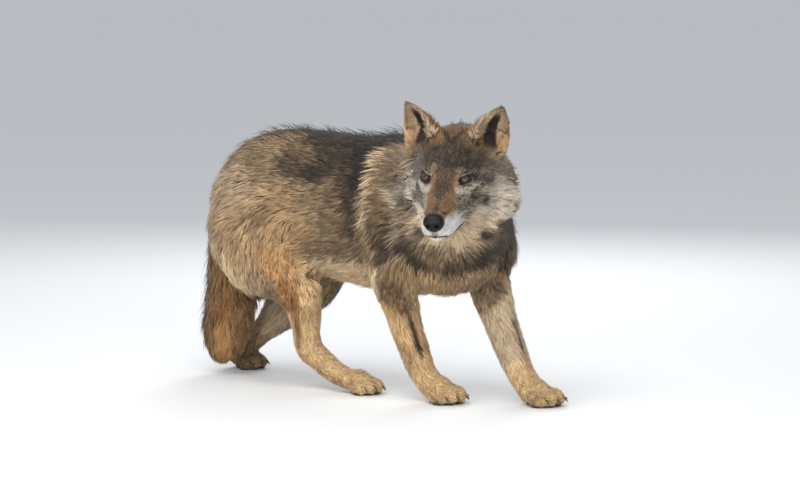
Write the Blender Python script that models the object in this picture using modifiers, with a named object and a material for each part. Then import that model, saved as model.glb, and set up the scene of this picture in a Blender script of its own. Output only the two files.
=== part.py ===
"""Grey wolf in its winter coat, life size, walking low with its head turned to its right.

Units are metres, +Z up. The wolf faces +X and its left side is +Y. The solids follow the outer
form of the coat, so a leg or the neck is as thick here as it looks with its fur.

The flesh is built as one body: lofted limbs and rounded masses are fused by a voxel remesh,
smoothed where muscle runs into muscle, and thinned to a light mesh. Thin plates then part it
into head, jaw, neck, trunk, tail and legs. Ears, nose and eyes are set on or into it.
"""

import math

import bmesh
import bpy
from mathutils import Matrix, Vector
from mathutils.bvhtree import BVHTree

# ---------------------------------------------------------------- driving dimensions
BACK_HEIGHT = 0.632  # top of the coat along the back
BELLY_HEIGHT = 0.250  # lowest hair under the chest
GAP = 0.0003  # between one solid and the next
VOXEL = 0.0045
SMOOTHING_ROUNDS = 40
SMOOTHING_OF = {"body": 1.0, "ruff": 0.45, "head": 0.14, "ears": 0.03, "paws": 0.06}  # share of each round
KEPT_FACES = 0.016  # share of the remeshed faces that stays
KEPT_TAIL_FACES = 0.32
RING_POINTS = 20
MASS_POINTS = (20, 14)  # around and from pole to pole
BALL_POINTS = (14, 8)
EAR_POINTS = 11
STEPS_PER_SPAN = 4

EYE_HEIGHT = 0.546
EYE_MIDDLE = Vector((0.412, -0.161, EYE_HEIGHT))
HEAD_HEADING = math.radians(-66)  # turned to the right of the body
HEAD_PITCH = math.radians(21)  # nose down
HEAD_ROLL = math.radians(-2)
HEAD = Matrix.Translation(EYE_MIDDLE) @ (
    Matrix.Rotation(HEAD_HEADING, 4, "Z")
    @ Matrix.Rotation(HEAD_PITCH, 4, "Y")
    @ Matrix.Rotation(HEAD_ROLL, 4, "X")
)
EYE_SPACING = 0.091
EYE_RADIUS = 0.0145
EYE_DEPTH = 0.005  # the eyeball's centre behind the line of the lids
EAR_WALL = 0.009
EAR_LEAST_INSIDE = 0.3  # share of the outer radius that the hollow keeps near the tip

# Trunk sections across X: (x, middle y, top, bottom, half width).
TRUNK = [
    (-0.440, 0.000, 0.478, 0.400, 0.050),
    (-0.415, 0.000, 0.524, 0.345, 0.088),
    (-0.370, 0.000, 0.573, 0.310, 0.114),
    (-0.310, 0.000, 0.611, 0.300, 0.130),
    (-0.230, 0.000, BACK_HEIGHT, 0.292, 0.132),
    (-0.130, 0.000, 0.634, 0.280, 0.130),
    (-0.030, 0.000, 0.628, 0.262, 0.136),
    (0.070, 0.000, 0.628, BELLY_HEIGHT, 0.144),
    (0.160, -0.002, 0.636, 0.246, 0.146),
    (0.250, -0.004, 0.638, 0.248, 0.142),
    (0.330, -0.006, 0.612, 0.262, 0.126),
    (0.400, -0.010, 0.560, 0.300, 0.098),
    (0.440, -0.014, 0.500, 0.350, 0.062),
]

# Limbs: (x, y, z, half thickness fore and aft, half thickness across).
NECK = [
    (0.140, 0.000, 0.485, 0.125, 0.122),
    (0.230, -0.006, 0.498, 0.138, 0.134),
    (0.300, -0.020, 0.512, 0.140, 0.136),
    (0.345, -0.044, 0.528, 0.132, 0.128),
]
FORELEG_RIGHT = [
    (0.246, -0.074, 0.450, 0.088, 0.052),
    (0.222, -0.098, 0.370, 0.084, 0.056),
    (0.203, -0.100, 0.300, 0.062, 0.050),
    (0.214, -0.092, 0.240, 0.051, 0.043),
    (0.231, -0.083, 0.170, 0.043, 0.039),
    (0.249, -0.074, 0.115, 0.040, 0.038),
    (0.264, -0.066, 0.070, 0.034, 0.035),
    (0.292, -0.060, 0.036, 0.032, 0.036),
]
FORELEG_LEFT = [
    (0.322, 0.072, 0.450, 0.086, 0.052),
    (0.330, 0.098, 0.370, 0.084, 0.056),
    (0.326, 0.100, 0.300, 0.062, 0.050),
    (0.354, 0.092, 0.240, 0.052, 0.044),
    (0.392, 0.083, 0.170, 0.044, 0.041),
    (0.428, 0.074, 0.115, 0.041, 0.039),
    (0.460, 0.066, 0.070, 0.035, 0.036),
    (0.494, 0.060, 0.036, 0.032, 0.036),
]
HINDLEG_RIGHT = [
    (-0.262, -0.044, 0.515, 0.115, 0.062),
    (-0.245, -0.084, 0.435, 0.158, 0.074),
    (-0.205, -0.096, 0.340, 0.150, 0.070),
    (-0.136, -0.097, 0.275, 0.084, 0.060),
    (-0.100, -0.094, 0.230, 0.060, 0.050),
    (-0.094, -0.087, 0.185, 0.047, 0.041),
    (-0.094, -0.080, 0.138, 0.037, 0.035),
    (-0.095, -0.075, 0.102, 0.037, 0.033),
    (-0.052, -0.070, 0.072, 0.033, 0.031),
    (-0.012, -0.066, 0.045, 0.029, 0.031),
    (0.034, -0.063, 0.030, 0.026, 0.034),
]
HINDLEG_LEFT = [
    (-0.262, 0.044, 0.515, 0.115, 0.062),
    (-0.255, 0.084, 0.435, 0.158, 0.074),
    (-0.240, 0.104, 0.340, 0.140, 0.068),
    (-0.250, 0.112, 0.260, 0.104, 0.058),
    (-0.300, 0.112, 0.205, 0.084, 0.052),
    (-0.349, 0.110, 0.150, 0.055, 0.040),
    (-0.393, 0.107, 0.110, 0.037, 0.033),
    (-0.442, 0.101, 0.072, 0.031, 0.031),
    (-0.486, 0.096, 0.040, 0.028, 0.033),
]
TAIL = [
    (-0.345, 0.000, 0.528, 0.050, 0.048),
    (-0.386, -0.002, 0.470, 0.054, 0.050),
    (-0.414, -0.006, 0.390, 0.054, 0.050),
    (-0.412, -0.012, 0.300, 0.060, 0.054),
    (-0.402, -0.018, 0.215, 0.068, 0.058),
    (-0.408, -0.020, 0.145, 0.066, 0.056),
    (-0.424, -0.018, 0.088, 0.055, 0.048),
    (-0.434, -0.016, 0.050, 0.034, 0.030),
    (-0.438, -0.015, 0.028, 0.012, 0.012),
]

# Rounded masses of muscle and coat: (middle, radii, turn about Y in degrees).
MASSES = [
    ((0.235, -0.078, 0.440), (0.110, 0.066, 0.155), 14),  # right shoulder
    ((0.318, 0.070, 0.430), (0.100, 0.064, 0.150), 10),  # left shoulder
    ((0.362, -0.034, 0.408), (0.090, 0.096, 0.125), 0),  # forechest and bib
    ((0.335, -0.072, 0.475), (0.075, 0.085, 0.090), 0),  # mane under the right cheek
    ((0.270, 0.000, 0.310), (0.130, 0.085, 0.062), 0),  # brisket hair
    ((-0.300, -0.076, 0.370), (0.118, 0.068, 0.140), -12),  # right breeching
    ((-0.300, 0.080, 0.370), (0.112, 0.066, 0.130), -12),  # left breeching
    ((-0.090, 0.000, 0.330), (0.150, 0.118, 0.060), -8),  # hair of the flank
]

# The head in its own frame: x along the muzzle, y to its left, z up, from between the eyes.
HEAD_MASSES = [
    ((-0.108, 0.000, 0.024), (0.058, 0.090, 0.058), 0),  # cranium
    ((-0.070, 0.000, -0.100), (0.080, 0.088, 0.060), 0),  # throat
    ((-0.160, 0.000, -0.080), (0.060, 0.138, 0.110), 0),  # mane behind the cheeks
    ((0.108, 0.000, -0.058), (0.019, 0.026, 0.025), 0),  # end of the muzzle
]
HEAD_PAIRS = [
    ((-0.052, 0.054, -0.038), (0.050, 0.040, 0.040), 0),  # cheekbone
    ((-0.100, 0.096, -0.096), (0.052, 0.062, 0.060), 12),  # ruff behind the cheek
    ((-0.024, 0.038, 0.013), (0.030, 0.024, 0.014), 14),  # rim over the eye
    ((-0.112, 0.070, 0.024), (0.030, 0.036, 0.036), 0),  # root of the ear
    ((0.064, 0.023, -0.076), (0.054, 0.020, 0.025), 8),  # upper lip
]
# Along the skull: (x, middle z, half height, half width, how far the widest part hangs below the middle).
SKULL = [
    (-0.200, -0.030, 0.094, 0.110, 0.030),
    (-0.155, -0.030, 0.110, 0.136, 0.070),
    (-0.118, -0.028, 0.112, 0.140, 0.080),
    (-0.084, -0.026, 0.102, 0.121, 0.066),
    (-0.050, -0.026, 0.087, 0.099, 0.040),
    (-0.020, -0.030, 0.069, 0.084, 0.022),
    (0.006, -0.037, 0.054, 0.064, 0.012),
    (0.038, -0.044, 0.042, 0.046, 0.005),
    (0.080, -0.051, 0.033, 0.036, 0.002),
    (0.114, -0.056, 0.027, 0.030, 0.000),
    (0.129, -0.058, 0.023, 0.025, 0.000),
]
# The same along the lower jaw.
JAW = [
    (-0.070, -0.094, 0.036, 0.060, 0.000),
    (-0.010, -0.098, 0.027, 0.050, 0.000),
    (0.040, -0.099, 0.020, 0.041, 0.000),
    (0.078, -0.097, 0.016, 0.034, 0.000),
    (0.104, -0.094, 0.013, 0.025, 0.000),
    (0.122, -0.090, 0.010, 0.014, 0.000),
]
# Side view of what comes away as the lower jaw: the lips, the corner of the mouth, and round below.
JAW_OUTLINE = [
    (0.170, -0.0850),
    (0.112, -0.0890),
    (0.090, -0.0960),
    (0.070, -0.0995),
    (0.045, -0.1000),
    (0.020, -0.1010),
    (0.002, -0.1060),
    (-0.004, -0.1350),
    (0.010, -0.1800),
    (0.170, -0.1800),
]
NOSE_MIDDLE = (0.1230, 0.0, -0.0515)
NOSE_RADII = (0.0170, 0.0250, 0.0208)
EAR_BASE = Vector((-0.096, 0.074, 0.030))
EAR_TIP = Vector((-0.112, 0.120, 0.146))
EAR_FOOT = 0.085  # above this in the head's frame all is ear
EAR_FACING = math.radians(24)  # turned outward from the muzzle's line
EAR_CUT = 0.36  # share of the ear's length where it comes away from the head
# Up the ear: (share of its length, half width, angle from its back to its edge in degrees).
EAR_SECTIONS = [
    (0.00, 0.041, 120),
    (0.20, 0.045, 108),
    (0.42, 0.044, 92),
    (0.62, 0.037, 82),
    (0.80, 0.026, 70),
    (0.93, 0.014, 60),
    (1.00, 0.006, 55),
]

# Paws: (x, y, heading in degrees, size).
PAWS = {
    "front_right": (0.318, -0.058, -4, 1.04),
    "front_left": (0.522, 0.057, 2, 1.04),
    "hind_right": (0.068, -0.061, -3, 0.94),
    "hind_left": (-0.452, 0.094, 3, 0.94),
}
PAW_MASSES = [
    ((-0.016, 0.000, 0.033), (0.042, 0.036, 0.032)),  # back of the foot
    ((-0.012, 0.000, 0.012), (0.026, 0.025, 0.016)),  # main pad
]
TOES = [(0.034, 0.0145, 0.0215), (0.017, 0.0345, 0.0195)]  # inner and outer toe: x, y, z
PAW_TOP = 0.075
TOE_RADII = (0.030, 0.0160, 0.0225)
TOE_TIP = 12  # degrees that a toe is tipped down
CLAW_FROM_TOE = (0.026, 0.004)  # ahead of and above the toe's middle
CLAW_DIRECTION = Vector((0.86, 0, -0.5))
CLAW_SIDES = 6
CLAW_LENGTH = 0.014
CLAW_RADIUS = 0.0036
CLAW_TIP = 0.0008

# Side views of the legs' cuts: (x, z) round the shoulder or hip and down past the floor.
LEG_OUTLINES = {
    "foreleg_right": [
        (0.170, -0.020), (0.118, 0.250), (0.115, 0.380), (0.160, 0.490), (0.235, 0.545),
        (0.315, 0.500), (0.352, 0.400), (0.354, 0.270), (0.400, 0.120), (0.420, -0.020),
    ],
    "foreleg_left": [
        (0.310, -0.020), (0.260, 0.120), (0.215, 0.260), (0.212, 0.380), (0.250, 0.480),
        (0.315, 0.530), (0.390, 0.490), (0.430, 0.400), (0.445, 0.280), (0.560, 0.120), (0.640, -0.020),
    ],
    "hindleg_right": [
        (-0.520, -0.020), (-0.520, 0.300), (-0.455, 0.440), (-0.360, 0.535), (-0.220, 0.545),
        (-0.100, 0.450), (-0.045, 0.340), (-0.025, 0.250), (0.060, 0.140), (0.160, -0.020),
    ],
    "hindleg_left": [
        (-0.600, -0.020), (-0.600, 0.200), (-0.455, 0.440), (-0.360, 0.535), (-0.220, 0.545),
        (-0.100, 0.450), (-0.055, 0.340), (-0.090, 0.240), (-0.200, 0.100), (-0.360, -0.020),
    ],
}
PAW_PIECES = {
    "paw_front_right": "front_right",
    "paw_front_left": "front_left",
    "foot_hind_right": "hind_right",
    "foot_hind_left": "hind_left",
}
LEG_OUTSIDE = 0.3  # from the midline to past the outside of any leg
LEG_INSIDE = 0.016  # from the midline to a leg's inner cut, at LEG_INSIDE_HEIGHT
LEG_INSIDE_HEIGHT = 0.25
LEG_INSIDE_SLOPE = 0.22  # the inner cut leans outward by this much of its height
# Cuts across the legs: (leg, piece that comes away, middle, direction towards that piece).
LEG_CUTS = [
    ("foreleg_right", "forearm_right", (0.215, -0.092, 0.234), (0.10, 0.0, -1.0)),
    ("forearm_right", "paw_front_right", (0.262, -0.066, 0.082), (0.45, 0.0, -1.0)),
    ("foreleg_left", "forearm_left", (0.356, 0.092, 0.234), (0.25, 0.0, -1.0)),
    ("forearm_left", "paw_front_left", (0.456, 0.066, 0.082), (0.75, 0.0, -1.0)),
    ("hindleg_right", "shank_right", (-0.098, -0.094, 0.216), (0.15, 0.0, -1.0)),
    ("shank_right", "foot_hind_right", (-0.094, -0.076, 0.118), (0.15, 0.0, -1.0)),
    ("hindleg_left", "shank_left", (-0.268, 0.112, 0.228), (-0.35, 0.0, -1.0)),
    ("shank_left", "foot_hind_left", (-0.388, 0.107, 0.114), (-0.95, 0.0, -1.0)),
]
# Cuts across the whole body: (middle, direction towards the piece that comes away).
NECK_CUT = ((0.296, -0.018, 0.505), (0.80, -0.38, 0.46))
HEAD_CUT = ((0.356, -0.042, 0.560), (0.583, -0.694, 0.423))
CUTTER_SIZE = 0.6
FLOOR_CUTTER_SIZE = 1.6
EAR_CUTTER_SIZE = 0.13
JAW_CUTTER_WIDTH = 0.18

# Softness regions: in the head's frame, ears lie above EAR_FOOT; the ruff lies behind the face.
HEAD_HALF_WIDTH = 0.16
EARS_FROM, HEAD_FROM, FACE_FROM = -0.150, -0.135, -0.060
HEAD_BOTTOM = -0.130

# Finishes: name: (colour, roughness, the sub-parts that have it).
FINISHES = {
    "coat": ((0.33, 0.27, 0.20), 0.85, ("trunk", "neck", "head", "tail", "foreleg", "hindleg")),
    "throat_coat": ((0.62, 0.56, 0.46), 0.85, ("lower_jaw",)),
    "ear_coat": ((0.36, 0.24, 0.14), 0.80, ("ear",)),
    "leg_coat": ((0.50, 0.38, 0.25), 0.80, ("forearm", "shank", "paw", "foot")),
    "nose_leather": ((0.02, 0.02, 0.02), 0.45, ("nose",)),
    "eye": ((0.30, 0.13, 0.05), 0.08, ("eye",)),
}


# ---------------------------------------------------------------- scene and materials
for old in list(bpy.data.objects):
    bpy.data.objects.remove(old)
wolf = bpy.data.collections.new("grey_wolf")
cutters = bpy.data.collections.new("cutters")
for collection in (wolf, cutters):
    bpy.context.scene.collection.children.link(collection)


def material(name, colour, roughness):
    made = bpy.data.materials.new(name)
    made.use_nodes = True
    shader = made.node_tree.nodes["Principled BSDF"]
    shader.inputs["Base Color"].default_value = (*colour, 1)
    shader.inputs["Roughness"].default_value = roughness
    shader.inputs["Metallic"].default_value = 0
    return made


def finish_named(name):
    """The finish that a sub-part of this name has, in a material of the sub-part's own."""
    for finish, (colour, roughness, parts) in FINISHES.items():
        if name.startswith(parts):
            return material(f"{finish}_{name}", colour, roughness)
    return None


def new_object(name, mesh, collection=wolf):
    obj = bpy.data.objects.new(name, mesh)
    collection.objects.link(obj)
    return obj


def object_from(name, shape, collection=wolf):
    """A bmesh made into an object; the bmesh is freed."""
    bmesh.ops.recalc_face_normals(shape, faces=shape.faces)
    mesh = bpy.data.meshes.new(name)
    shape.to_mesh(mesh)
    shape.free()
    return new_object(name, mesh, collection)


def evaluated(obj):
    """The object's evaluated mesh as a new object, which takes its place."""
    bpy.context.view_layer.update()
    mesh = bpy.data.meshes.new_from_object(obj.evaluated_get(bpy.context.evaluated_depsgraph_get()))
    name = obj.name
    bpy.data.objects.remove(obj)
    mesh.name = name
    return new_object(name, mesh)


# ---------------------------------------------------------------- shapes
def ellipsoid(shape, place, radii, points):
    """Adds an ellipsoid to the bmesh, in the frame of the place."""
    matrix = place @ Matrix.Diagonal((*radii, 1))
    around, down = points
    bmesh.ops.create_uvsphere(shape, u_segments=around, v_segments=down, radius=1, matrix=matrix)


def mass(shape, middle, radii, degrees, frame=Matrix.Identity(4)):
    """Adds a rounded mass, tipped about the frame's Y axis."""
    place = frame @ Matrix.Translation(middle) @ Matrix.Rotation(math.radians(degrees), 4, "Y")
    ellipsoid(shape, place, radii, MASS_POINTS)


def curve_between(before, a, b, after, t):
    """A Catmull-Rom curve's value at t between a and b."""
    cubic = (3 * a - before - 3 * b + after) * t**3
    return 0.5 * (2 * a + (b - before) * t + (2 * before - 5 * a + 4 * b - after) * t * t + cubic)


def smooth_path(stations):
    """The stations with STEPS_PER_SPAN points to each span, on a smooth curve."""
    rows = [stations[0], *stations, stations[-1]]
    path = []
    for spans in zip(rows, rows[1:], rows[2:], rows[3:]):
        for step in range(STEPS_PER_SPAN):
            path.append([curve_between(*values, step / STEPS_PER_SPAN) for values in zip(*spans)])
    path.append(list(stations[-1]))
    return path


def skin_rings(shape, rings):
    """Joins rings of equal count into a closed tube."""
    for ring, following in zip(rings, rings[1:]):
        for i in range(len(ring)):
            j = (i + 1) % len(ring)
            shape.faces.new((ring[i], ring[j], following[j], following[i]))
    shape.faces.new(rings[0][::-1])
    shape.faces.new(rings[-1])


def ring(shape, middle, first, second):
    """A ring of points round the middle; first and second are its two half axes."""
    angles = [2 * math.pi * i / RING_POINTS for i in range(RING_POINTS)]
    return [shape.verts.new(middle + first * math.cos(a) + second * math.sin(a)) for a in angles]


def limb(shape, stations):
    """Lofts elliptical sections square to the limb's own line."""
    path = smooth_path(stations)
    rings = []
    for i, (x, y, z, fore, across) in enumerate(path):
        ahead, behind = path[min(i + 1, len(path) - 1)], path[max(i - 1, 0)]
        along = (Vector(ahead[:3]) - Vector(behind[:3])).normalized()
        side = Vector((0, 1, 0))
        side = (side - along * side.dot(along)).normalized()
        rings.append(ring(shape, Vector((x, y, z)), along.cross(side) * fore, side * across))
    skin_rings(shape, rings)


def trunk_loft(shape):
    rings = []
    for x, y, top, bottom, half_width in smooth_path(TRUNK):
        middle = Vector((x, y, (top + bottom) / 2))
        rings.append(ring(shape, middle, Vector((0, half_width, 0)), Vector((0, 0, (top - bottom) / 2))))
    skin_rings(shape, rings)


def head_loft(shape, stations):
    """Lofts upright sections along the head's own x axis."""
    rings = []
    for x, z, half_height, half_width, hang in smooth_path(stations):
        points = []
        for i in range(RING_POINTS):
            angle = 2 * math.pi * i / RING_POINTS
            across, up = math.cos(angle), math.sin(angle)
            place = Vector((x, half_width * across, z + half_height * up - hang * across**2))
            points.append(shape.verts.new(HEAD @ place))
        rings.append(points)
    skin_rings(shape, rings)


def ear(shape, side):
    """Lofts a curled leaf of even wall, open to the front."""
    base, tip = Vector(mirrored(EAR_BASE, side)), Vector(mirrored(EAR_TIP, side))
    up = (tip - base).normalized()
    facing = Vector((math.cos(EAR_FACING), side * math.sin(EAR_FACING), 0))
    facing = (facing - up * facing.dot(up)).normalized()
    across = up.cross(facing)
    rings = []
    for share, half_width, degrees in smooth_path(EAR_SECTIONS):
        edge = math.radians(degrees)
        outer = half_width / math.sin(min(edge, math.pi / 2))
        inner = max(outer - EAR_WALL, EAR_LEAST_INSIDE * outer)
        angles = [edge * (2 * i / (EAR_POINTS - 1) - 1) for i in range(EAR_POINTS)]
        middle = base.lerp(tip, share) + facing * (outer - half_width)
        walls = [(outer, a) for a in angles] + [(inner, a) for a in reversed(angles)]
        rings.append([
            shape.verts.new(HEAD @ (middle + across * radius * math.sin(a) - facing * radius * math.cos(a)))
            for radius, a in walls
        ])
    skin_rings(shape, rings)


def mirrored(triple, side):
    return (triple[0], triple[1] * side, triple[2])


def paw_frame(name):
    x, y, heading, size = PAWS[name]
    turn = Matrix.Rotation(math.radians(heading), 4, "Z")
    return Matrix.Translation((x, y, 0)) @ turn @ Matrix.Scale(size, 4)


def toe_places():
    """Each toe's middle in the paw's frame, outer to inner to outer."""
    return [mirrored(toe, side) for toe in TOES for side in (-1, 1)]


# ---------------------------------------------------------------- the flesh, in one body
def region_of(point):
    """Which softness a point of the flesh takes."""
    x, y, z = HEAD.inverted() @ point
    if point.z < PAW_TOP:
        return "paws"
    if abs(y) > HEAD_HALF_WIDTH or x < EARS_FROM:
        return "body"
    if z > EAR_FOOT:
        return "ears"
    if x > HEAD_FROM and z > HEAD_BOTTOM:
        return "head" if x > FACE_FROM else "ruff"
    return "body"


def build_flesh():
    shape = bmesh.new()
    trunk_loft(shape)
    for stations in (NECK, FORELEG_RIGHT, FORELEG_LEFT, HINDLEG_RIGHT, HINDLEG_LEFT):
        limb(shape, stations)
    for middle, radii, degrees in MASSES:
        mass(shape, middle, radii, degrees)
    for middle, radii, degrees in HEAD_MASSES:
        mass(shape, middle, radii, degrees, HEAD)
    for middle, radii, degrees in HEAD_PAIRS:
        for side in (-1, 1):
            mass(shape, mirrored(middle, side), radii, degrees, HEAD)
    for stations in (SKULL, JAW):
        head_loft(shape, stations)
    for side in (-1, 1):
        ear(shape, side)
    for name in PAWS:
        frame = paw_frame(name)
        for middle, radii in PAW_MASSES:
            mass(shape, middle, radii, 0, frame)
        for toe in toe_places():
            mass(shape, toe, TOE_RADII, TOE_TIP, frame)
    flesh = object_from("trunk", shape)

    fuse = flesh.modifiers.new("fuse", "REMESH")
    fuse.mode = "VOXEL"
    fuse.voxel_size = VOXEL
    flesh = evaluated(flesh)

    softness = flesh.vertex_groups.new(name="softness")
    for vertex in flesh.data.vertices:
        softness.add([vertex.index], SMOOTHING_OF[region_of(vertex.co)], "REPLACE")
    blend = flesh.modifiers.new("blend", "SMOOTH")
    blend.factor = 0.5
    blend.iterations = SMOOTHING_ROUNDS
    blend.vertex_group = softness.name
    thin = flesh.modifiers.new("thin", "DECIMATE")
    thin.ratio = KEPT_FACES
    flesh = evaluated(flesh)
    finest = max(islands(flesh), key=lambda body: len(body.verts))
    bpy.data.objects.remove(flesh)
    return object_from("trunk", finest)


def hide(cutter):
    cutter.hide_render = True
    cutter.display_type = "WIRE"
    return cutter


def boolean(obj, cutter, operation="DIFFERENCE"):
    """Adds a Boolean with the cutter, which stays as a hidden guide."""
    modifier = obj.modifiers.new(f"{operation.lower()}_{cutter.name}", "BOOLEAN")
    modifier.operation = operation
    modifier.solver = "EXACT"
    modifier.object = hide(cutter)


def half_space(name, middle, direction, size=CUTTER_SIZE):
    """A cube with one face on the cut, all of it beyond."""
    direction = Vector(direction).normalized()
    turn = direction.to_track_quat("Z", "Y").to_matrix().to_4x4()
    place = Matrix.Translation(Vector(middle) + direction * size / 2) @ turn
    shape = bmesh.new()
    bmesh.ops.create_cube(shape, size=size, matrix=place)
    return object_from(f"cut_{name}", shape, cutters)


def prism(name, outline, place):
    """Joins the outline at one end to the outline at the other, placed by place(a, b, end)."""
    shape = bmesh.new()
    ends = [[shape.verts.new(place(a, b, end)) for a, b in outline] for end in (0, 1)]
    skin_rings(shape, ends)
    return object_from(f"cut_{name}", shape, cutters)


def leg_prism(name):
    """From the leaning inner cut outwards, within the leg's side view."""
    side = -1 if "right" in name else 1
    curve = smooth_path([(x, z, 0) for x, z in LEG_OUTLINES[name]])

    def place(x, z, end):
        inside = LEG_INSIDE + LEG_INSIDE_SLOPE * (z - LEG_INSIDE_HEIGHT)
        return Vector((x, side * (LEG_OUTSIDE if end else inside), z))

    return prism(name, [(x, z) for x, z, _ in curve], place)


def islands(obj):
    """The object's loose bodies, each a new bmesh."""
    whole = bmesh.new()
    whole.from_mesh(obj.data)
    unseen = set(whole.verts)
    bodies = []
    while unseen:
        front = [unseen.pop()]
        body = set(front)
        while front:
            for edge in front.pop().link_edges:
                for vertex in edge.verts:
                    if vertex in unseen:
                        unseen.remove(vertex)
                        body.add(vertex)
                        front.append(vertex)
        single = whole.copy()
        inside = {vertex.index for vertex in body}
        bmesh.ops.delete(single, geom=[v for v in single.verts if v.index not in inside], context="VERTS")
        bodies.append(single)
    whole.free()
    return bodies


def lies_inside(body, tree):
    """Whether most of the body's points are behind the closed surface of the tree."""
    inward = 0
    for vertex in body.verts:
        nearest, normal = tree.find_nearest(vertex.co)[:2]
        inward += 1 if (vertex.co - nearest).dot(normal) < 0 else -1
    return inward > 0


def divide(obj, name, cutter):
    """Cuts a wall of the gap's thickness round the cutter; what it holds takes the name."""
    points, faces = cutter.data.vertices, cutter.data.polygons
    tree = BVHTree.FromPolygons([point.co for point in points], [face.vertices for face in faces])
    wall = cutter.modifiers.new("wall", "SOLIDIFY")
    wall.thickness = GAP
    wall.offset = 0
    boolean(obj, cutter)
    rest_name = obj.name
    whole = evaluated(obj)
    bodies = islands(whole)
    bpy.data.objects.remove(whole)
    held = [body for body in bodies if lies_inside(body, tree)]
    kept = [body for body in bodies if body not in held]
    counts = [len(body.verts) for body in bodies]
    assert len(held) == len(kept) == 1, f"{name} and {rest_name} come away in bodies of {counts} points"
    return object_from(name, held[0]), object_from(rest_name, kept[0])


def carve(obj, cutter):
    """The object with the cutter taken out."""
    boolean(obj, cutter)
    return evaluated(obj)


def ball(name, middle, radii, collection=wolf):
    """An ellipsoid set square to the head."""
    shape = bmesh.new()
    ellipsoid(shape, HEAD @ Matrix.Translation(middle), radii, BALL_POINTS)
    return object_from(name, shape, collection)


def build_tail():
    """The hanging tail, and a cutter that is wider by the gap."""
    shape = bmesh.new()
    limb(shape, TAIL)
    tail = object_from("tail", shape)
    thin = tail.modifiers.new("thin", "DECIMATE")
    thin.ratio = KEPT_TAIL_FACES
    thin.use_collapse_triangulate = True
    tail = evaluated(tail)
    socket = new_object("cut_tail", tail.data.copy(), cutters)
    clearance = socket.modifiers.new("clearance", "DISPLACE")
    clearance.strength = GAP
    clearance.mid_level = 0
    return tail, socket


def add_claws(paw, frame):
    """Joins a pointed claw to the front of each toe."""
    shape = bmesh.new()
    turn = CLAW_DIRECTION.to_track_quat("Z", "Y").to_matrix().to_4x4()
    ahead, above = CLAW_FROM_TOE
    for x, y, z in toe_places():
        middle = Vector((x + ahead, y, z + above)) + CLAW_DIRECTION * CLAW_LENGTH / 2
        bmesh.ops.create_cone(
            shape,
            cap_ends=True,
            segments=CLAW_SIDES,
            radius1=CLAW_RADIUS,
            radius2=CLAW_TIP,
            depth=CLAW_LENGTH,
            matrix=frame @ Matrix.Translation(middle) @ turn,
        )
    boolean(paw, object_from(f"claws_{paw.name}", shape, cutters), "UNION")


# ---------------------------------------------------------------- the wolf, piece by piece
trunk = build_flesh()
below_floor = half_space("floor", (0, 0, 0), (0, 0, -1), FLOOR_CUTTER_SIZE)
trunk = carve(trunk, below_floor)

tail, tail_socket = build_tail()
trunk = carve(trunk, tail_socket)

for side, word in ((-1, "right"), (1, "left")):
    eye_middle = mirrored((-EYE_DEPTH, EYE_SPACING / 2, 0), side)
    ball(f"eye_{word}", eye_middle, [EYE_RADIUS] * 3)
    trunk = carve(trunk, ball(f"cut_eye_{word}", eye_middle, [EYE_RADIUS + GAP] * 3, cutters))
ball("nose", NOSE_MIDDLE, NOSE_RADII)
trunk = carve(trunk, ball("cut_nose", NOSE_MIDDLE, [radius + GAP for radius in NOSE_RADII], cutters))

pieces = {}
for name in LEG_OUTLINES:
    pieces[name], trunk = divide(trunk, name, leg_prism(name))
neck, trunk = divide(trunk, "neck", half_space("neck", *NECK_CUT))
head, neck = divide(neck, "head", half_space("head", *HEAD_CUT))

for side, word in ((-1, "right"), (1, "left")):
    base, tip = Vector(mirrored(EAR_BASE, side)), Vector(mirrored(EAR_TIP, side))
    ear_middle = HEAD @ base.lerp(tip, EAR_CUT)
    ear_cut = half_space(f"ear_{word}", ear_middle, HEAD.to_3x3() @ (tip - base), EAR_CUTTER_SIZE)
    _, head = divide(head, f"ear_{word}", ear_cut)


def across_jaw(x, z, end):
    return HEAD @ Vector((x, JAW_CUTTER_WIDTH * (end - 0.5), z))


lower_jaw, head = divide(head, "lower_jaw", prism("jaw", JAW_OUTLINE, across_jaw))

for whole, name, middle, direction in LEG_CUTS:
    pieces[name], pieces[whole] = divide(pieces[whole], name, half_space(name, middle, direction))
for name, paw_name in PAW_PIECES.items():
    add_claws(pieces[name], paw_frame(paw_name))

for obj in wolf.objects:
    obj.data.materials.clear()
    obj.data.materials.append(finish_named(obj.name))

# ---------------------------------------------------------------- origin under the middle, on the floor
bpy.context.view_layer.update()
depsgraph = bpy.context.evaluated_depsgraph_get()
corners = [Vector(c) for obj in wolf.objects for c in obj.evaluated_get(depsgraph).bound_box]
low, high = (Vector(pick(c[axis] for c in corners) for axis in range(3)) for pick in (min, max))
stance = bpy.data.objects.new("stance", None)
wolf.objects.link(stance)
stance.location = (-(low.x + high.x) / 2, -(low.y + high.y) / 2, -low.z)
for obj in [*wolf.objects, *cutters.objects]:
    if obj is not stance:
        obj.parent = stance
print("stance moved by", [round(value, 5) for value in stance.location])
print("size", [round(value, 4) for value in high - low])
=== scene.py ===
# %% [markdown]
# # A grey wolf in its winter coat, life size
# A museum keeps such an animal as a still model. Its coat gives it almost all of its shape, so the work
# goes from the inside out: one skin, then the eyes, nose, lips and claws that show bare, and then the fur,
# made of many thousands of small solid tufts. Hair curves would be quicker to comb, but a tuft that is real
# mesh can be exported and printed.

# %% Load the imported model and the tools
import math
from itertools import product

import bmesh
import bpy
import numpy as np
from mathutils import Matrix, Vector
from mathutils.bvhtree import BVHTree
from mathutils.kdtree import KDTree


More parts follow.
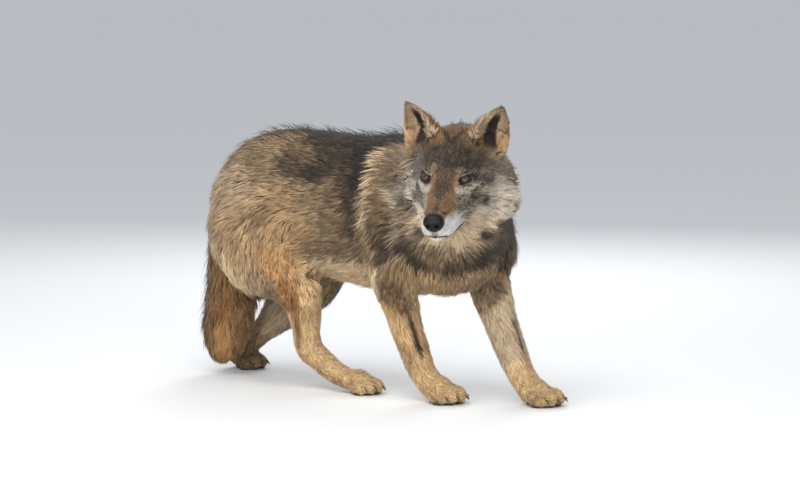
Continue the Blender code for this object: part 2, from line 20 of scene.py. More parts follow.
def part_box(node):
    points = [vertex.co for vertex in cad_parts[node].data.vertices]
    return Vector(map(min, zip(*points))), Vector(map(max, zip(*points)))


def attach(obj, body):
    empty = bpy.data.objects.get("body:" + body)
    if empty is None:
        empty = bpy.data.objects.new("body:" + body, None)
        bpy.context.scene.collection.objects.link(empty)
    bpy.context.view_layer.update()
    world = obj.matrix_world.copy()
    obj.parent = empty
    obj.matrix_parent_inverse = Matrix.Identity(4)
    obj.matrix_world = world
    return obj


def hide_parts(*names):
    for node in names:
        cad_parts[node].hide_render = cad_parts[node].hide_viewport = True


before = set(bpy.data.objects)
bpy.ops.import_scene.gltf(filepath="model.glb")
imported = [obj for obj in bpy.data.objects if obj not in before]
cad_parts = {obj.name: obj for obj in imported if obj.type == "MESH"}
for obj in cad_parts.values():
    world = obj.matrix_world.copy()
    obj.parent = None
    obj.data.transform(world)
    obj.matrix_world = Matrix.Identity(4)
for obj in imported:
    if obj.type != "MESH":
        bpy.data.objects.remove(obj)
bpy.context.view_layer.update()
scene = bpy.context.scene
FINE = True
chance = np.random.default_rng(7)

# %% [markdown]
# ## Two frames to measure in
# The body walks along +X with its midline a little off the row's origin. The head is turned and tipped, so
# the face is measured in a frame of its own: x along the muzzle, y to the wolf's left and z up, starting
# between the eyes, which the CAD model's eyes give. Points are kept as NumPy arrays, a row for each point.
# Places and sizes are in metres, but the tables of the coat and its markings are in millimetres.

# %% Body frame and head frame
def middle(node):
    low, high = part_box(node)
    return (low + high) / 2


EYE_SET_BACK = 0.005  # the eyeballs' centres behind the frame's origin
HEAD_TURN = (
    Matrix.Rotation(math.radians(-66), 3, "Z")
    @ Matrix.Rotation(math.radians(21), 3, "Y")
    @ Matrix.Rotation(math.radians(-2), 3, "X")
)
HEAD_MIDDLE = (middle("eye_left") + middle("eye_right")) / 2 + HEAD_TURN @ Vector((EYE_SET_BACK, 0, 0))
TURN = np.array(HEAD_TURN)
STANCE = np.array([-0.0461, 0.0487, 0.0])  # the row's origin is under the middle of the box, not of the chest


def in_head(points):
    return (np.asarray(points) - np.array(HEAD_MIDDLE)) @ TURN


def from_head(points):
    return np.asarray(points) @ TURN.T + np.array(HEAD_MIDDLE)


def in_body(points):
    return np.asarray(points) - STANCE


print("between the eyes", [round(v, 4) for v in HEAD_MIDDLE])

# %% [markdown]
# ## Small tools for arrays
# Fur and markings are worked out for a hundred thousand points at a time, so the tools take whole arrays.
# Value noise is made from a hash of each lattice corner, which gives the same blotches on every run.

# %% Array tools
def unit(vectors):
    return vectors / np.maximum(np.linalg.norm(vectors, axis=-1, keepdims=True), 1e-12)


def ease(low, high, values):
    """0 below low, 1 above high, with a smooth step between; low may be the larger."""
    share = np.clip((values - low) / (high - low), 0, 1)
    return share * share * (3 - 2 * share)


def blotches(points, size, seed):
    """Smooth noise from 0 to 1 with blotches of about that size in metres."""
    place = points / size + 31.7 * seed
    cell = np.floor(place).astype(np.int64)
    part = place - cell
    part = part * part * (3 - 2 * part)
    total = np.zeros(len(points))
    for corner in np.ndindex(2, 2, 2):
        x, y, z = (cell + corner).T
        mixed = (x * 73856093) ^ (y * 19349663) ^ (z * 83492791) ^ (seed * 668265263)
        mixed = ((mixed ^ (mixed >> 13)) * 1274126177) & 0x7FFFFFFF
        value = ((mixed ^ (mixed >> 15)) & 0xFFFF) / 65535
        total += value * np.prod(np.where(corner, part, 1 - part), axis=1)
    return total


def linear(red, green, blue):
    """A colour given as it looks on a chart, from 0 to 255, as the linear values that Blender uses."""
    share = np.array([red, green, blue]) / 255
    return np.where(share < 0.04045, share / 12.92, ((share + 0.055) / 1.055) ** 2.4)


def turns(count):
    """That many angles, evenly round a circle."""
    return np.arange(count) / count * 2 * math.pi


def circle(angles, first, second):
    """Points round an ellipse with those two arms."""
    return np.cos(angles)[:, None] * first + np.sin(angles)[:, None] * second


def added(name, data):
    """A new object in the scene for a mesh, a lamp or a camera."""
    made = bpy.data.objects.new(name, data)
    scene.collection.objects.link(made)
    return made


def mesh_object(name, points, faces):
    mesh = bpy.data.meshes.new(name)
    mesh.from_pydata([tuple(p) for p in points], [], [tuple(f) for f in faces])
    return added(name, mesh)


def lofted(rings, looped=False):
    """Points and faces through rings. The last ring joins the first, or each end is closed by a fan."""
    rings = np.asarray(rings)
    count, around = rings.shape[:2]
    index = np.arange(count * around).reshape(count, around)
    if looped:
        index = np.vstack([index, index[:1]])
    beside = np.roll(index, -1, axis=1)
    quads = np.stack([index[:-1], beside[:-1], beside[1:], index[1:]], axis=-1)
    faces = quads.reshape(-1, 4).tolist()
    points = rings.reshape(-1, 3)
    if not looped:
        points = np.vstack([points, rings[0].mean(axis=0), rings[-1].mean(axis=0)])
        for end, first, second in ((-2, beside[0], index[0]), (-1, index[-1], beside[-1])):
            faces += [(a, b, len(points) + end) for a, b in zip(first.tolist(), second.tolist())]
    return points, faces


def piece(name, shapes, colours=None):
    """One smooth object of several (points, faces), with its faces turned outward."""
    points, faces = [], []
    for some, more in shapes:
        start = sum(len(p) for p in points)
        points.append(some)
        faces += [tuple(start + i for i in face) for face in more]
    made = mesh_object(name, np.vstack(points), faces)
    shape = bmesh.new()
    shape.from_mesh(made.data)
    bmesh.ops.recalc_face_normals(shape, faces=shape.faces)
    shape.to_mesh(made.data)
    shape.free()
    made.data.polygons.foreach_set("use_smooth", np.ones(len(made.data.polygons), bool))
    if colours is not None:
        paint_points(made.data, colours)
    return made


def paint_points(mesh, colours):
    layer = mesh.color_attributes.new("fur", "FLOAT_COLOR", "POINT")
    opaque = np.hstack([colours, np.ones((len(colours), 1))])
    layer.data.foreach_set("color", opaque.astype(np.float32).ravel())


def read(items, key, width=3, kind=np.float32):
    """One property of all the items, a row for each."""
    values = np.zeros(len(items) * width, kind)
    items.foreach_get(key, values)
    return values.reshape(-1, width)


def points_of(mesh):
    return read(mesh.vertices, "co").astype(float)


def normals_of(mesh):
    return read(mesh.vertex_normals, "vector").astype(float)


def move_points(mesh, points):
    mesh.vertices.foreach_set("co", points.astype(np.float32).ravel())
    mesh.update()


def applied(obj):
    """The object with its modifiers made real."""
    bpy.context.view_layer.update()
    mesh = bpy.data.meshes.new_from_object(obj.evaluated_get(bpy.context.evaluated_depsgraph_get()))
    obj.modifiers.clear()
    old, obj.data = obj.data, mesh
    bpy.data.meshes.remove(old)
    return obj


# %% [markdown]
# ## Shader nodes as sums
# A material is easier to read as a formula than as a list of links. The class below wraps a socket, so that
# `streaks * 0.5` adds a Math node. Every other node comes from one method, `node`.

# %% Material tools
class Signal:
    """A socket whose arithmetic builds Math nodes."""

    def __init__(self, finish, socket):
        self.finish, self.socket = finish, socket

    def __mul__(self, other):
        return self.finish.node("ShaderNodeMath", {"operation": "MULTIPLY"}, {0: self, 1: other})

    __rmul__ = __mul__

    def between(self, low, high):
        """0 below low and 1 above high."""
        values = {"Value": self, "From Min": low, "From Max": high}
        return self.finish.node("ShaderNodeMapRange", {"interpolation_type": "SMOOTHSTEP"}, values)


class Finish:
    """A material with a Principled BSDF, and the one method that adds its other nodes."""

    def __init__(self, name, **constants):
        self.material = bpy.data.materials.new(name)
        self.material.use_nodes = True
        self.tree = self.material.node_tree
        self.shader = self.tree.nodes["Principled BSDF"]
        for socket, value in constants.items():
            self.shader.inputs[socket.replace("_", " ")].default_value = value

    def node(self, kind, settings=None, values=None, output=0):
        made = self.tree.nodes.new(kind)
        for key, value in (settings or {}).items():
            setattr(made, key, value)
        for key, value in (values or {}).items():
            if isinstance(value, Signal):
                self.tree.links.new(value.socket, made.inputs[key])
            else:
                made.inputs[key].default_value = value
        return Signal(self, made.outputs[output])

    def place(self):
        return self.node("ShaderNodeTexCoord", output="Object")

    def painted(self):
        """The colours that the points of the mesh carry."""
        return self.node("ShaderNodeAttribute", {"attribute_name": "fur"}, output="Color")

    def noise(self, scale, detail=2):
        values = {"Vector": self.place(), "Scale": scale, "Detail": detail, "Roughness": 0.6}
        return self.node("ShaderNodeTexNoise", values=values)

    def mix(self, share, first, second, blend="MIX"):
        """Mixes two colours."""
        settings = {"data_type": "RGBA", "blend_type": blend}
        factor, colour_a, colour_b, mixed = 0, 6, 7, 2  # the sockets that colours use
        values = {factor: share, colour_a: first, colour_b: second}
        return self.node("ShaderNodeMix", settings, values, mixed)

    def bump(self, height, distance, strength=1.0):
        values = {"Height": height, "Distance": distance, "Strength": strength}
        self.feed("Normal", self.node("ShaderNodeBump", values=values))

    def feed(self, socket, signal):
        self.tree.links.new(signal.socket, self.shader.inputs[socket])


def wear(obj, finish):
    """Gives a piece its only material, and sets it to move with the body."""
    obj.data.materials.clear()
    obj.data.materials.append(finish.material)
    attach(obj, "root")
    return obj


# %% [markdown]
# ## How the coat lies
# Fur grows back from the nose, up the forehead, out over the cheeks, down the legs and along the back. Each
# strand line below follows that lie for a stretch, with the length of the hair, the depth of the coat over
# the skin and the width of one tuft at its two ends, all in millimetres. Any point of the animal takes the
# mean of the strand points near it, so a few dozen lines comb the whole coat, and none has to lie just on
# the skin.

# %% Strand lines of the body
# (points in the body frame, (length, depth, width) at the start, the same at the end), on both sides.
BODY_STRANDS = [
    ([(340, 0, 600), (250, 0, 640), (150, 0, 636)], (85, 30, 3.4), (70, 24, 3.4)),  # mane on the withers
    ([(120, 0, 632), (0, 0, 630), (-130, 0, 634)], (62, 21, 3.3), (52, 17, 3.2)),  # back
    ([(-170, 0, 634), (-300, 0, 612), (-400, 0, 545)], (50, 17, 3.1), (52, 18, 3.1)),  # croup
    ([(100, 110, 585), (-30, 100, 575), (-160, 100, 570)], (58, 19, 3.2), (48, 16, 3.1)),
    ([(-190, 100, 568), (-300, 90, 530), (-400, 60, 470)], (48, 16, 3.0), (48, 16, 3.0)),
    ([(100, 140, 500), (0, 140, 485), (-130, 130, 470)], (55, 18, 3.1), (46, 15, 3.0)),
    ([(-160, 140, 475), (-270, 140, 435), (-360, 120, 385)], (46, 15, 3.0), (50, 16, 3.0)),
    ([(100, 140, 400), (0, 130, 380), (-100, 120, 360)], (50, 16, 3.0), (42, 13, 2.9)),
    ([(100, 100, 300), (0, 90, 290), (-100, 80, 300)], (52, 16, 3.0), (42, 13, 2.8)),  # flank fringe
    ([(240, 0, 250), (70, 0, 250), (-120, 0, 280), (-240, 0, 295)], (50, 16, 3.0), (34, 11, 2.6)),
    ([(290, 120, 590), (240, 135, 520), (200, 150, 450)], (82, 30, 3.4), (78, 27, 3.3)),  # neck
    ([(220, 100, 610), (180, 130, 530), (140, 145, 460)], (80, 27, 3.4), (70, 22, 3.3)),  # collar
    ([(290, 140, 470), (260, 150, 400), (240, 145, 330)], (72, 26, 3.2), (48, 15, 2.9)),  # shoulder
    ([(200, 150, 420), (170, 150, 360), (150, 140, 300)], (62, 20, 3.1), (46, 14, 2.9)),
    ([(380, 30, 440), (390, 30, 370), (360, 20, 300), (320, 10, 265)], (70, 26, 3.2), (48, 15, 2.8)),
    ([(350, 90, 450), (370, 80, 360), (330, 70, 290)], (66, 25, 3.2), (40, 13, 2.7)),  # side of the bib
    ([(-180, 150, 430), (-190, 160, 370), (-180, 140, 310)], (42, 13, 2.8), (28, 9, 2.4)),  # thigh
    ([(-110, 130, 390), (-110, 130, 330), (-100, 120, 280)], (38, 11, 2.7), (22, 7, 2.2)),
    ([(-290, 140, 400), (-310, 140, 340), (-300, 120, 270)], (52, 16, 2.9), (58, 16, 2.9)),  # breeching
    ([(-400, 90, 430), (-400, 80, 360), (-360, 70, 290), (-310, 70, 250)], (60, 18, 3.0), (84, 22, 3.0)),
]
# Limbs, each with the half thickness of the limb, as (x, y, z, half thickness), then the coat at both ends.
LIMBS = [
    ([(205, -100, 290, 50), (214, -92, 240, 45), (231, -83, 170, 40), (249, -74, 115, 38),
      (264, -66, 75, 34)],
     (26, 7, 2.2), (13, 4, 1.6)),
    ([(328, 98, 290, 50), (354, 92, 240, 47), (392, 83, 170, 42), (428, 74, 115, 40), (458, 66, 75, 34)],
     (26, 7, 2.2), (13, 4, 1.6)),
    ([(-105, -94, 230, 55), (-94, -87, 185, 43), (-94, -80, 138, 36), (-94, -77, 110, 34)],
     (20, 6, 2.0), (14, 4, 1.7)),
    ([(-85, -74, 90, 33), (-52, -70, 72, 32), (-12, -66, 47, 30)], (13, 4, 1.6), (11, 4, 1.5)),
    ([(-275, 112, 225, 70), (-300, 112, 205, 62), (-349, 110, 150, 45), (-393, 107, 110, 35)],
     (62, 14, 2.6), (16, 4, 1.7)),
    ([(-410, 105, 95, 33), (-442, 101, 72, 31), (-480, 97, 44, 30)], (13, 4, 1.6), (11, 4, 1.5)),
    ([(-380, -2, 480, 50), (-414, -6, 390, 52), (-412, -12, 300, 56), (-402, -18, 215, 60)],
     (58, 20, 3.1), (68, 27, 3.3)),
    ([(-403, -19, 190, 58), (-404, -20, 145, 55), (-418, -18, 88, 38), (-428, -16, 50, 16)],
     (64, 26, 3.2), (42, 8, 2.8)),
]
# Feet: from the ankle forward over the toes, all with the same coat.
FOOT_LINES = [
    [(275, -60, 70), (318, -58, 58), (360, -60, 30)],
    [(478, 60, 70), (522, 57, 58), (564, 57, 30)],
    [(20, -62, 52), (68, -61, 52), (106, -62, 28)],
    [(-500, 94, 52), (-452, 94, 52), (-414, 95, 28)],
]
FEET = [(line, (11, 3.5, 1.5), (7, 2.5, 1.2)) for line in FOOT_LINES]

# %% Strand lines of the head
# The same in the head's frame.
HEAD_STRANDS = [
    ([(100, 0, -22), (60, 0, -12), (20, 0, 8)], (3.5, 1.6, 1.3), (5, 2.2, 1.4)),  # bridge
    ([(5, 0, 20), (-30, 0, 50), (-70, 0, 76)], (7, 3, 1.5), (13, 5, 1.8)),  # forehead
    ([(-90, 0, 83), (-130, 0, 84), (-190, 0, 70)], (18, 8, 2.1), (55, 20, 2.8)),  # crown to nape
    ([(-10, 20, 22), (-40, 35, 52), (-80, 45, 82)], (7, 3, 1.5), (13, 5, 1.8)),
    ([(-120, 55, 80), (-160, 65, 70), (-200, 75, 50)], (26, 10, 2.3), (60, 22, 2.9)),
    ([(0, 34, 20), (-30, 56, 34), (-70, 76, 45)], (6, 2.6, 1.4), (14, 5, 1.8)),  # brow
    ([(95, 20, -45), (60, 32, -40), (20, 46, -28)], (3.5, 1.6, 1.3), (5, 2.4, 1.4)),
    ([(105, 26, -66), (60, 40, -64), (20, 56, -62)], (4, 1.8, 1.3), (8, 3, 1.5)),
    ([(5, 64, -58), (-30, 85, -66), (-60, 108, -80)], (12, 5, 1.8), (30, 12, 2.3)),
    ([(-70, 118, -85), (-100, 140, -100), (-130, 160, -115)], (40, 18, 2.5), (58, 25, 3.0)),
    ([(5, 58, -20), (-30, 84, -18), (-60, 100, -20)], (6, 2.8, 1.5), (20, 8, 2.1)),
    ([(-70, 112, -30), (-100, 135, -40), (-130, 155, -50)], (32, 14, 2.3), (56, 24, 2.9)),
    ([(-50, 85, 22), (-80, 108, 16), (-120, 130, 5)], (12, 5, 1.8), (40, 16, 2.4)),
    ([(110, 12, -94), (60, 30, -98), (15, 44, -112)], (4, 2, 1.4), (12, 5, 1.8)),  # jaw
    ([(100, 0, -106), (50, 0, -120), (10, 0, -145)], (6, 3, 1.6), (22, 8, 2.2)),
    ([(0, 50, -125), (-30, 70, -150), (-60, 85, -185)], (20, 8, 2.2), (50, 20, 2.8)),
    ([(0, 0, -150), (-20, 10, -185), (-40, 15, -225)], (28, 10, 2.3), (60, 23, 3.0)),
    ([(-40, 85, -125), (-80, 115, -150), (-120, 140, -180)], (30, 12, 2.4), (58, 24, 3.0)),
    ([(-100, 76, 45), (-106, 98, 95), (-112, 118, 140)], (11, 3, 1.8), (7, 2, 1.5)),  # ear
    ([(-125, 70, 50), (-125, 92, 95), (-118, 114, 135)], (12, 3, 1.8), (7, 2, 1.5)),
]


# %% Turn the lines into a field
BODY_STEP, LIMB_STEP, HEAD_STEP = 0.03, 0.02, 0.008  # between samples along a line


def strand_samples(points, first, last, spacing):
    """Even samples along a line: places and directions in metres, and the coat in millimetres."""
    points = np.array(points) / 1000
    steps = np.linalg.norm(np.diff(points[:, :3], axis=0), axis=1)
    along = np.concatenate(([0], np.cumsum(steps)))
    marks = np.linspace(0, along[-1], max(2, int(along[-1] / spacing) + 1))
    places = np.stack([np.interp(marks, along, column) for column in points.T], axis=1)
    directions = unit(np.gradient(places[:, :3], axis=0))
    share = (marks / along[-1])[:, None]
    return places, directions, np.array(first) * (1 - share) + np.array(last) * share


def combed():
    """All samples in the row frame: places, directions, (length, depth, width)."""
    rows = []
    for lines, sides in ((BODY_STRANDS, (1, -1)), (FEET, (1,))):
        for line, side in product(lines, sides):
            place, direction, coat = strand_samples(*line, BODY_STEP)
            mirror = np.array([1, side, 1])
            rows.append((place * mirror + STANCE, direction * mirror, coat))
    for line in LIMBS:
        place, direction, coat = strand_samples(*line, LIMB_STEP)
        ahead = unit(np.cross(direction, [0, 1, 0]))
        for sign, way in product((1, -1), (np.cross(ahead, direction), ahead)):
            rows.append((place[:, :3] + STANCE + sign * way * place[:, 3:], direction, coat))
    for line, side in product(HEAD_STRANDS, (1, -1)):
        place, direction, coat = strand_samples(*line, HEAD_STEP)
        mirror = np.array([1, side, 1])
        rows.append((from_head(place * mirror), (direction * mirror) @ TURN.T, coat))
    return [np.concatenate(column) for column in zip(*rows)]


COMB = combed()
BATCH = 20000  # points taken at a time, which keeps the table of gaps small
BLUR = 1e-5  # added to each squared distance, so that no sample counts alone
print("comb samples", len(COMB[0]))


def coat_at(points):
    """The coat's direction and (length, depth, width) in metres at each point."""
    places, directions, coats = (column.astype(np.float32) for column in COMB)
    values = np.hstack([directions, coats / 1000])
    squares = (places**2).sum(axis=1)
    found = np.zeros((len(points), 6), np.float32)
    for start in range(0, len(points), BATCH):
        some = points[start:start + BATCH].astype(np.float32)
        gap = (some**2).sum(axis=1)[:, None] + squares - 2 * some @ places.T
        weight = 1 / (np.maximum(gap, 0) + BLUR) ** 2
        found[start:start + BATCH] = (weight @ values) / weight.sum(axis=1)[:, None]
    return unit(found[:, :3].astype(float)), found[:, 3:].astype(float)


# %% [markdown]
# ## Where the ears, eyes and nose are
# The ears are curled leaves on slanted lines, so a point of an ear is placed by its share of the way up,
# how far it is across and how far round to the front. An eye has a frame of its own too: out of the socket,
# from its inner to its outer corner, and up. The lids leave an almond open, and one number says how far out
# a point is from the almond's middle. The coat keeps clear of the eyes by it.

# %% Measures of the ears, eyes and nose
EAR_BASE, EAR_TIP = np.array([-0.096, 0.074, 0.030]), np.array([-0.112, 0.120, 0.146])
EAR_TURN = math.radians(24)  # how far the front of the ear looks outward
EAR_AXIS = EAR_TIP - EAR_BASE
EAR_FACING = np.array([math.cos(EAR_TURN), math.sin(EAR_TURN), 0.0])
EAR_FACING = unit(EAR_FACING - EAR_AXIS * (EAR_FACING @ EAR_AXIS) / (EAR_AXIS @ EAR_AXIS))
EAR_ACROSS = np.cross(EAR_AXIS, EAR_FACING) / np.linalg.norm(EAR_AXIS)
EYE_RADIUS = 0.0145
EYE_CENTRE = np.array([-EYE_SET_BACK, 0.0455, 0.0])
EYE_OUT = unit(np.array([0.686, 0.525, 0.505]))
EYE_ALONG = unit(np.array([-0.655, 0.746, 0.121]))
EYE_UP = np.cross(EYE_OUT, EYE_ALONG)
OPENING = np.array([0.0168, 0.0067, 0.0056])  # half width, height of the upper lid, depth of the lower
LID_FOOT = np.array([0.0220, 0.0165, 0.0160])  # the same where the lids meet the face
OPENING_LIFT = 0.0006  # of the almond over the middle of the eyeball
NOSE_MIDDLE = np.array([0.123, 0, -0.0515])
NOSE_RADII = np.array([0.0172, 0.0252, 0.0210])


def folded(points):
    """Places in the head's frame, with the right side folded over the left, and which side each was on."""
    place = in_head(points)
    side = np.where(place[:, 1:2] < 0, -1.0, 1.0)
    mirror = np.hstack([np.ones_like(side), side, np.ones_like(side)])
    return place * mirror, mirror


def ear_places(points):
    """(share up the ear, metres across towards its outer edge, distance from its line) of each point."""
    place = folded(points)[0] - EAR_BASE
    along = place @ EAR_AXIS / (EAR_AXIS @ EAR_AXIS)
    beside = place - along[:, None] * EAR_AXIS
    return along, beside @ EAR_ACROSS, np.linalg.norm(beside, axis=1)


def eye_ring(points, share):
    """Distance from the eye's middle: 1 is that share of the way from the opening to the lids' foot."""
    place = folded(points)[0] - EYE_CENTRE
    out, along, up = place @ EYE_OUT, place @ EYE_ALONG, place @ EYE_UP - OPENING_LIFT
    wide, high, low = OPENING + (LID_FOOT - OPENING) * share
    return np.where(out > 0, np.hypot(along / wide, up / np.where(up > 0, high, low)), 9.0)


def nose_distance(points):
    """How far each point is from the nose's middle; 1 is its surface."""
    return np.linalg.norm((in_head(points) - NOSE_MIDDLE) / NOSE_RADII, axis=1)


# %% [markdown]
# ## One skin
# The CAD solids are the outside of the coat, cut into parts. A voxel remesh of them all closes the thin
# cuts and gives one surface, which is smoothed so that no facet shows, and then sunk by the coat's depth, a
# little at a time with smoothing between, so that it doesn't fold. The trunk is then thinned to wide faces,
# as it is hidden, and the head keeps its fine ones.

# %% Remesh the flesh
SKIN_VOXEL = 0.0026 if FINE else 0.005
SEAM_CLOSER = 0.0004
FLESH = [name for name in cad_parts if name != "nose" and not name.startswith("eye")]


def gathered(names, swell):
    """Copies of CAD nodes in one mesh, each swollen a little so that the cuts between them close."""
    whole = bmesh.new()
    for name in names:
        part = bmesh.new()
        part.from_mesh(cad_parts[name].data)
        bmesh.ops.remove_doubles(part, verts=part.verts, dist=1e-5)
        part.normal_update()
        for vertex in part.verts:
            vertex.co += vertex.normal * swell
        mesh = bpy.data.meshes.new(name)
        part.to_mesh(mesh)
        part.free()
        whole.from_mesh(mesh)
        bpy.data.meshes.remove(mesh)
    mesh = bpy.data.meshes.new("skin")
    whole.to_mesh(mesh)
    whole.free()
    return added("skin", mesh)


skin = gathered(list(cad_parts), SEAM_CLOSER)
remesh = skin.modifiers.new("remesh", "REMESH")
remesh.mode, remesh.voxel_size = "VOXEL", SKIN_VOXEL
applied(skin)


def keep_largest(obj):
    """Deletes every loose body but the largest."""
    shape = bmesh.new()
    shape.from_mesh(obj.data)
    unseen, largest = set(shape.verts), []
    while unseen:
        front = [unseen.pop()]
        body = list(front)
        while front:
            for edge in front.pop().link_edges:
                for vertex in edge.verts:
                    if vertex in unseen:
                        unseen.remove(vertex)
                        body.append(vertex)
                        front.append(vertex)
        largest = max(largest, body, key=len)
    keep = set(largest)
    bmesh.ops.delete(shape, geom=[v for v in shape.verts if v not in keep], context="VERTS")
    shape.to_mesh(obj.data)
    shape.free()


keep_largest(skin)
print("remeshed skin", len(skin.data.vertices), "points")


# %% Smooth it and sink it by the depth of the coat
def neighbours(mesh):
    """The mesh's edges as point pairs, and how many neighbours each point has."""
    ends = read(mesh.edges, "vertices", 2, np.int32)
    return ends, np.maximum(np.bincount(ends.ravel(), minlength=len(mesh.vertices)), 1)


def neighbour_mean(points, ends, counts):
    total = np.zeros_like(points)
    for (one, other), axis in product((ends.T, ends.T[::-1]), range(3)):
        total[:, axis] += np.bincount(one, points[other, axis], len(points))
    return total / counts[:, None]


def smoothed(mesh, rounds, share, hold=0.0):
    """Moves points towards their neighbours; with hold, a second step back keeps the volume."""
    ends, counts = neighbours(mesh)
    points = points_of(mesh)
    share = np.broadcast_to(share, len(points))[:, None]
    for _ in range(rounds):
        points += share * (neighbour_mean(points, ends, counts) - points)
        if hold:
            points -= share * hold * (neighbour_mean(points, ends, counts) - points)
    move_points(mesh, points)


FILL_LIMIT = 0.020  # the farthest that a fold's bottom is lifted


def creases_filled(mesh, rounds, share):
    """Lifts the bottoms of folds: a point moves towards its neighbours only if that is outward."""
    ends, counts = neighbours(mesh)
    points = points_of(mesh)
    start = points.copy()
    for index in range(rounds):
        if index % 8 == 0:
            move_points(mesh, points)
            normals = normals_of(mesh)
        outward = ((neighbour_mean(points, ends, counts) - points) * normals).sum(axis=1)
        points += normals * (np.clip(outward, 0, 0.1 * SKIN_VOXEL) * share)[:, None]
        lifted = points - start
        height = np.maximum(np.linalg.norm(lifted, axis=1), 1e-9)[:, None]
        points = start + lifted * np.minimum(1, FILL_LIMIT / height)
    move_points(mesh, points)


def softness(points):
    """How far each point may be smoothed: least on the ears, the paws and the face."""
    head, body = in_head(points), in_body(points)
    soft = np.full(len(points), 0.6)
    face = ease(-0.20, -0.13, head[:, 0]) * ease(0.16, 0.13, abs(head[:, 1])) * ease(-0.20, -0.14, head[:, 2])
    soft -= 0.3 * face
    ears = ease(0.075, 0.095, head[:, 2]) * ease(-0.17, -0.15, head[:, 0])
    soft -= 0.2 * ears * face
    soft[body[:, 2] < 0.06] = 0.2
    return soft


ROUNDS = 45 if FINE else 14
SINK_STEPS = 5
EAR_COAT = 0.0022  # the most that the coat lies deep on an ear
outer_tree = BVHTree.FromObject(skin, bpy.context.evaluated_depsgraph_get())
outer = points_of(skin.data)
smoothed(skin.data, ROUNDS, softness(outer), hold=0.85)
outer = points_of(skin.data)
x, _, z = in_head(outer).T
behind_face = ease(-0.03, -0.08, x) * ease(-0.34, -0.28, x) * ease(0.070, 0.045, z) * ease(-0.30, -0.24, z)
above_legs = 0.5 * ease(0.25, 0.29, in_body(outer)[:, 2]) * ease(0.20, 0.10, in_body(outer)[:, 0])
creases_filled(skin.data, 4 * ROUNDS, np.maximum(behind_face, above_legs))
smoothed(skin.data, 8, softness(outer), hold=0.85)
outer = points_of(skin.data)
depth = coat_at(outer)[1][:, 1]
up_ear, across_ear, from_ear = ear_places(outer)
ear_foot = 0.16 - 0.22 * ease(0.016, 0.030, across_ear)
ear_share = ease(0, 0.2, up_ear - ear_foot) * ease(0.066, 0.054, from_ear)
depth = depth * (1 - ear_share) + np.minimum(depth, EAR_COAT) * ear_share
for _ in range(SINK_STEPS):
    points = points_of(skin.data) - normals_of(skin.data) * depth[:, None] / SINK_STEPS
    move_points(skin.data, points)
    smoothed(skin.data, 2, np.clip(depth / 0.02, 0.02, 0.5))
points = points_of(skin.data)
in_nose = 0.5 * ease(1.16, 0.96, nose_distance(points))[:, None]
move_points(skin.data, points + (from_head(NOSE_MIDDLE) - points) * in_nose)
print("skin sunk by", round(depth.min() * 1000, 1), "to", round(depth.max() * 1000, 1), "mm")

# %% Thin the hidden trunk
SKIN_TRIANGLES = 150000 if FINE else 60000
points = points_of(skin.data)
head = in_head(points)
is_head = (head[:, 0] > -0.13) & (np.abs(head[:, 1]) < 0.17) & (head[:, 2] > -0.14)
wide = skin.vertex_groups.new(name="wide")
wide.add([int(i) for i in np.flatnonzero(~is_head)], 1.0, "REPLACE")
thin = skin.modifiers.new("thin", "DECIMATE")
thin.ratio = min(1.0, SKIN_TRIANGLES / (2 * len(skin.data.polygons)))
thin.vertex_group = wide.name
thin.use_collapse_triangulate = True
applied(skin)
skin.vertex_groups.clear()
print("skin triangles", sum(len(p.vertices) - 2 for p in skin.data.polygons))

# %% [markdown]
# ## Markings
# A wolf's hairs are banded: dull at the root, pale in the middle and often black at the tip. Each kind of
# hair below has those three colours and the share of hairs whose tips are black. A marking is a kind of
# hair along a short line with a radius, in the body's or the head's frame. One function turns the lists
# into colours at any point, and both the skin and the coat take theirs from it, so they always agree.

# %% Kinds of hair
HAIRS = {  # under, middle, tip, share of black tips
    "agouti": ((88, 74, 60), (158, 134, 103), (136, 113, 86), 0.42),
    "pale_agouti": ((124, 107, 88), (188, 164, 134), (186, 163, 135), 0.20),
    "brown_agouti": ((70, 57, 44), (118, 97, 72), (84, 67, 50), 0.48),
    "forehead": ((32, 26, 21), (76, 62, 47), (104, 85, 66), 0.55),
    "grizzled": ((60, 51, 43), (136, 119, 100), (206, 188, 164), 0.46),
    "muzzle": ((76, 56, 42), (122, 92, 68), (134, 104, 80), 0.28),
    "black": ((40, 35, 31), (36, 31, 28), (20, 18, 17), 1.00),
    "dark_grey": ((48, 42, 37), (56, 49, 42), (32, 28, 25), 0.76),
    "dark_brown": ((54, 43, 33), (70, 54, 39), (34, 27, 22), 0.72),
    "cream": ((150, 128, 98), (222, 194, 152), (232, 208, 170), 0.08),
    "tan": ((112, 90, 64), (180, 147, 106), (180, 148, 108), 0.18),
    # pale_ochre: the legs' and feet's own pale hair, made paler still as painted light on the lower parts
    "pale_ochre": ((206, 162, 112), (246, 204, 148), (250, 216, 166), 0.03),
    "pale_cream": ((172, 148, 118), (230, 204, 168), (238, 214, 182), 0.03),
    "tail": ((66, 46, 28), (130, 96, 60), (166, 128, 86), 0.36),
    "ochre": ((138, 98, 58), (200, 150, 94), (208, 160, 104), 0.08),
    "rust": ((92, 58, 33), (152, 100, 56), (142, 94, 54), 0.16),
    "crown": ((60, 44, 31), (126, 95, 64), (108, 81, 56), 0.52),
    "smoke": ((50, 45, 41), (92, 84, 76), (126, 118, 108), 0.52),
    "pale_grey": ((112, 100, 88), (204, 190, 170), (236, 226, 210), 0.20),
    "white": ((228, 223, 216), (250, 247, 242), (252, 250, 247), 0.01),
    # painted shade: near-black hair laid deep in the ear's hollow
    "ear_hollow_shade": ((30, 25, 22), (27, 23, 21), (24, 21, 20), 1.0),
}
HAIR_VALUES = {
    name: np.concatenate([linear(*under), linear(*mid), linear(*tip), [share]])
    for name, (under, mid, tip, share) in HAIRS.items()
}

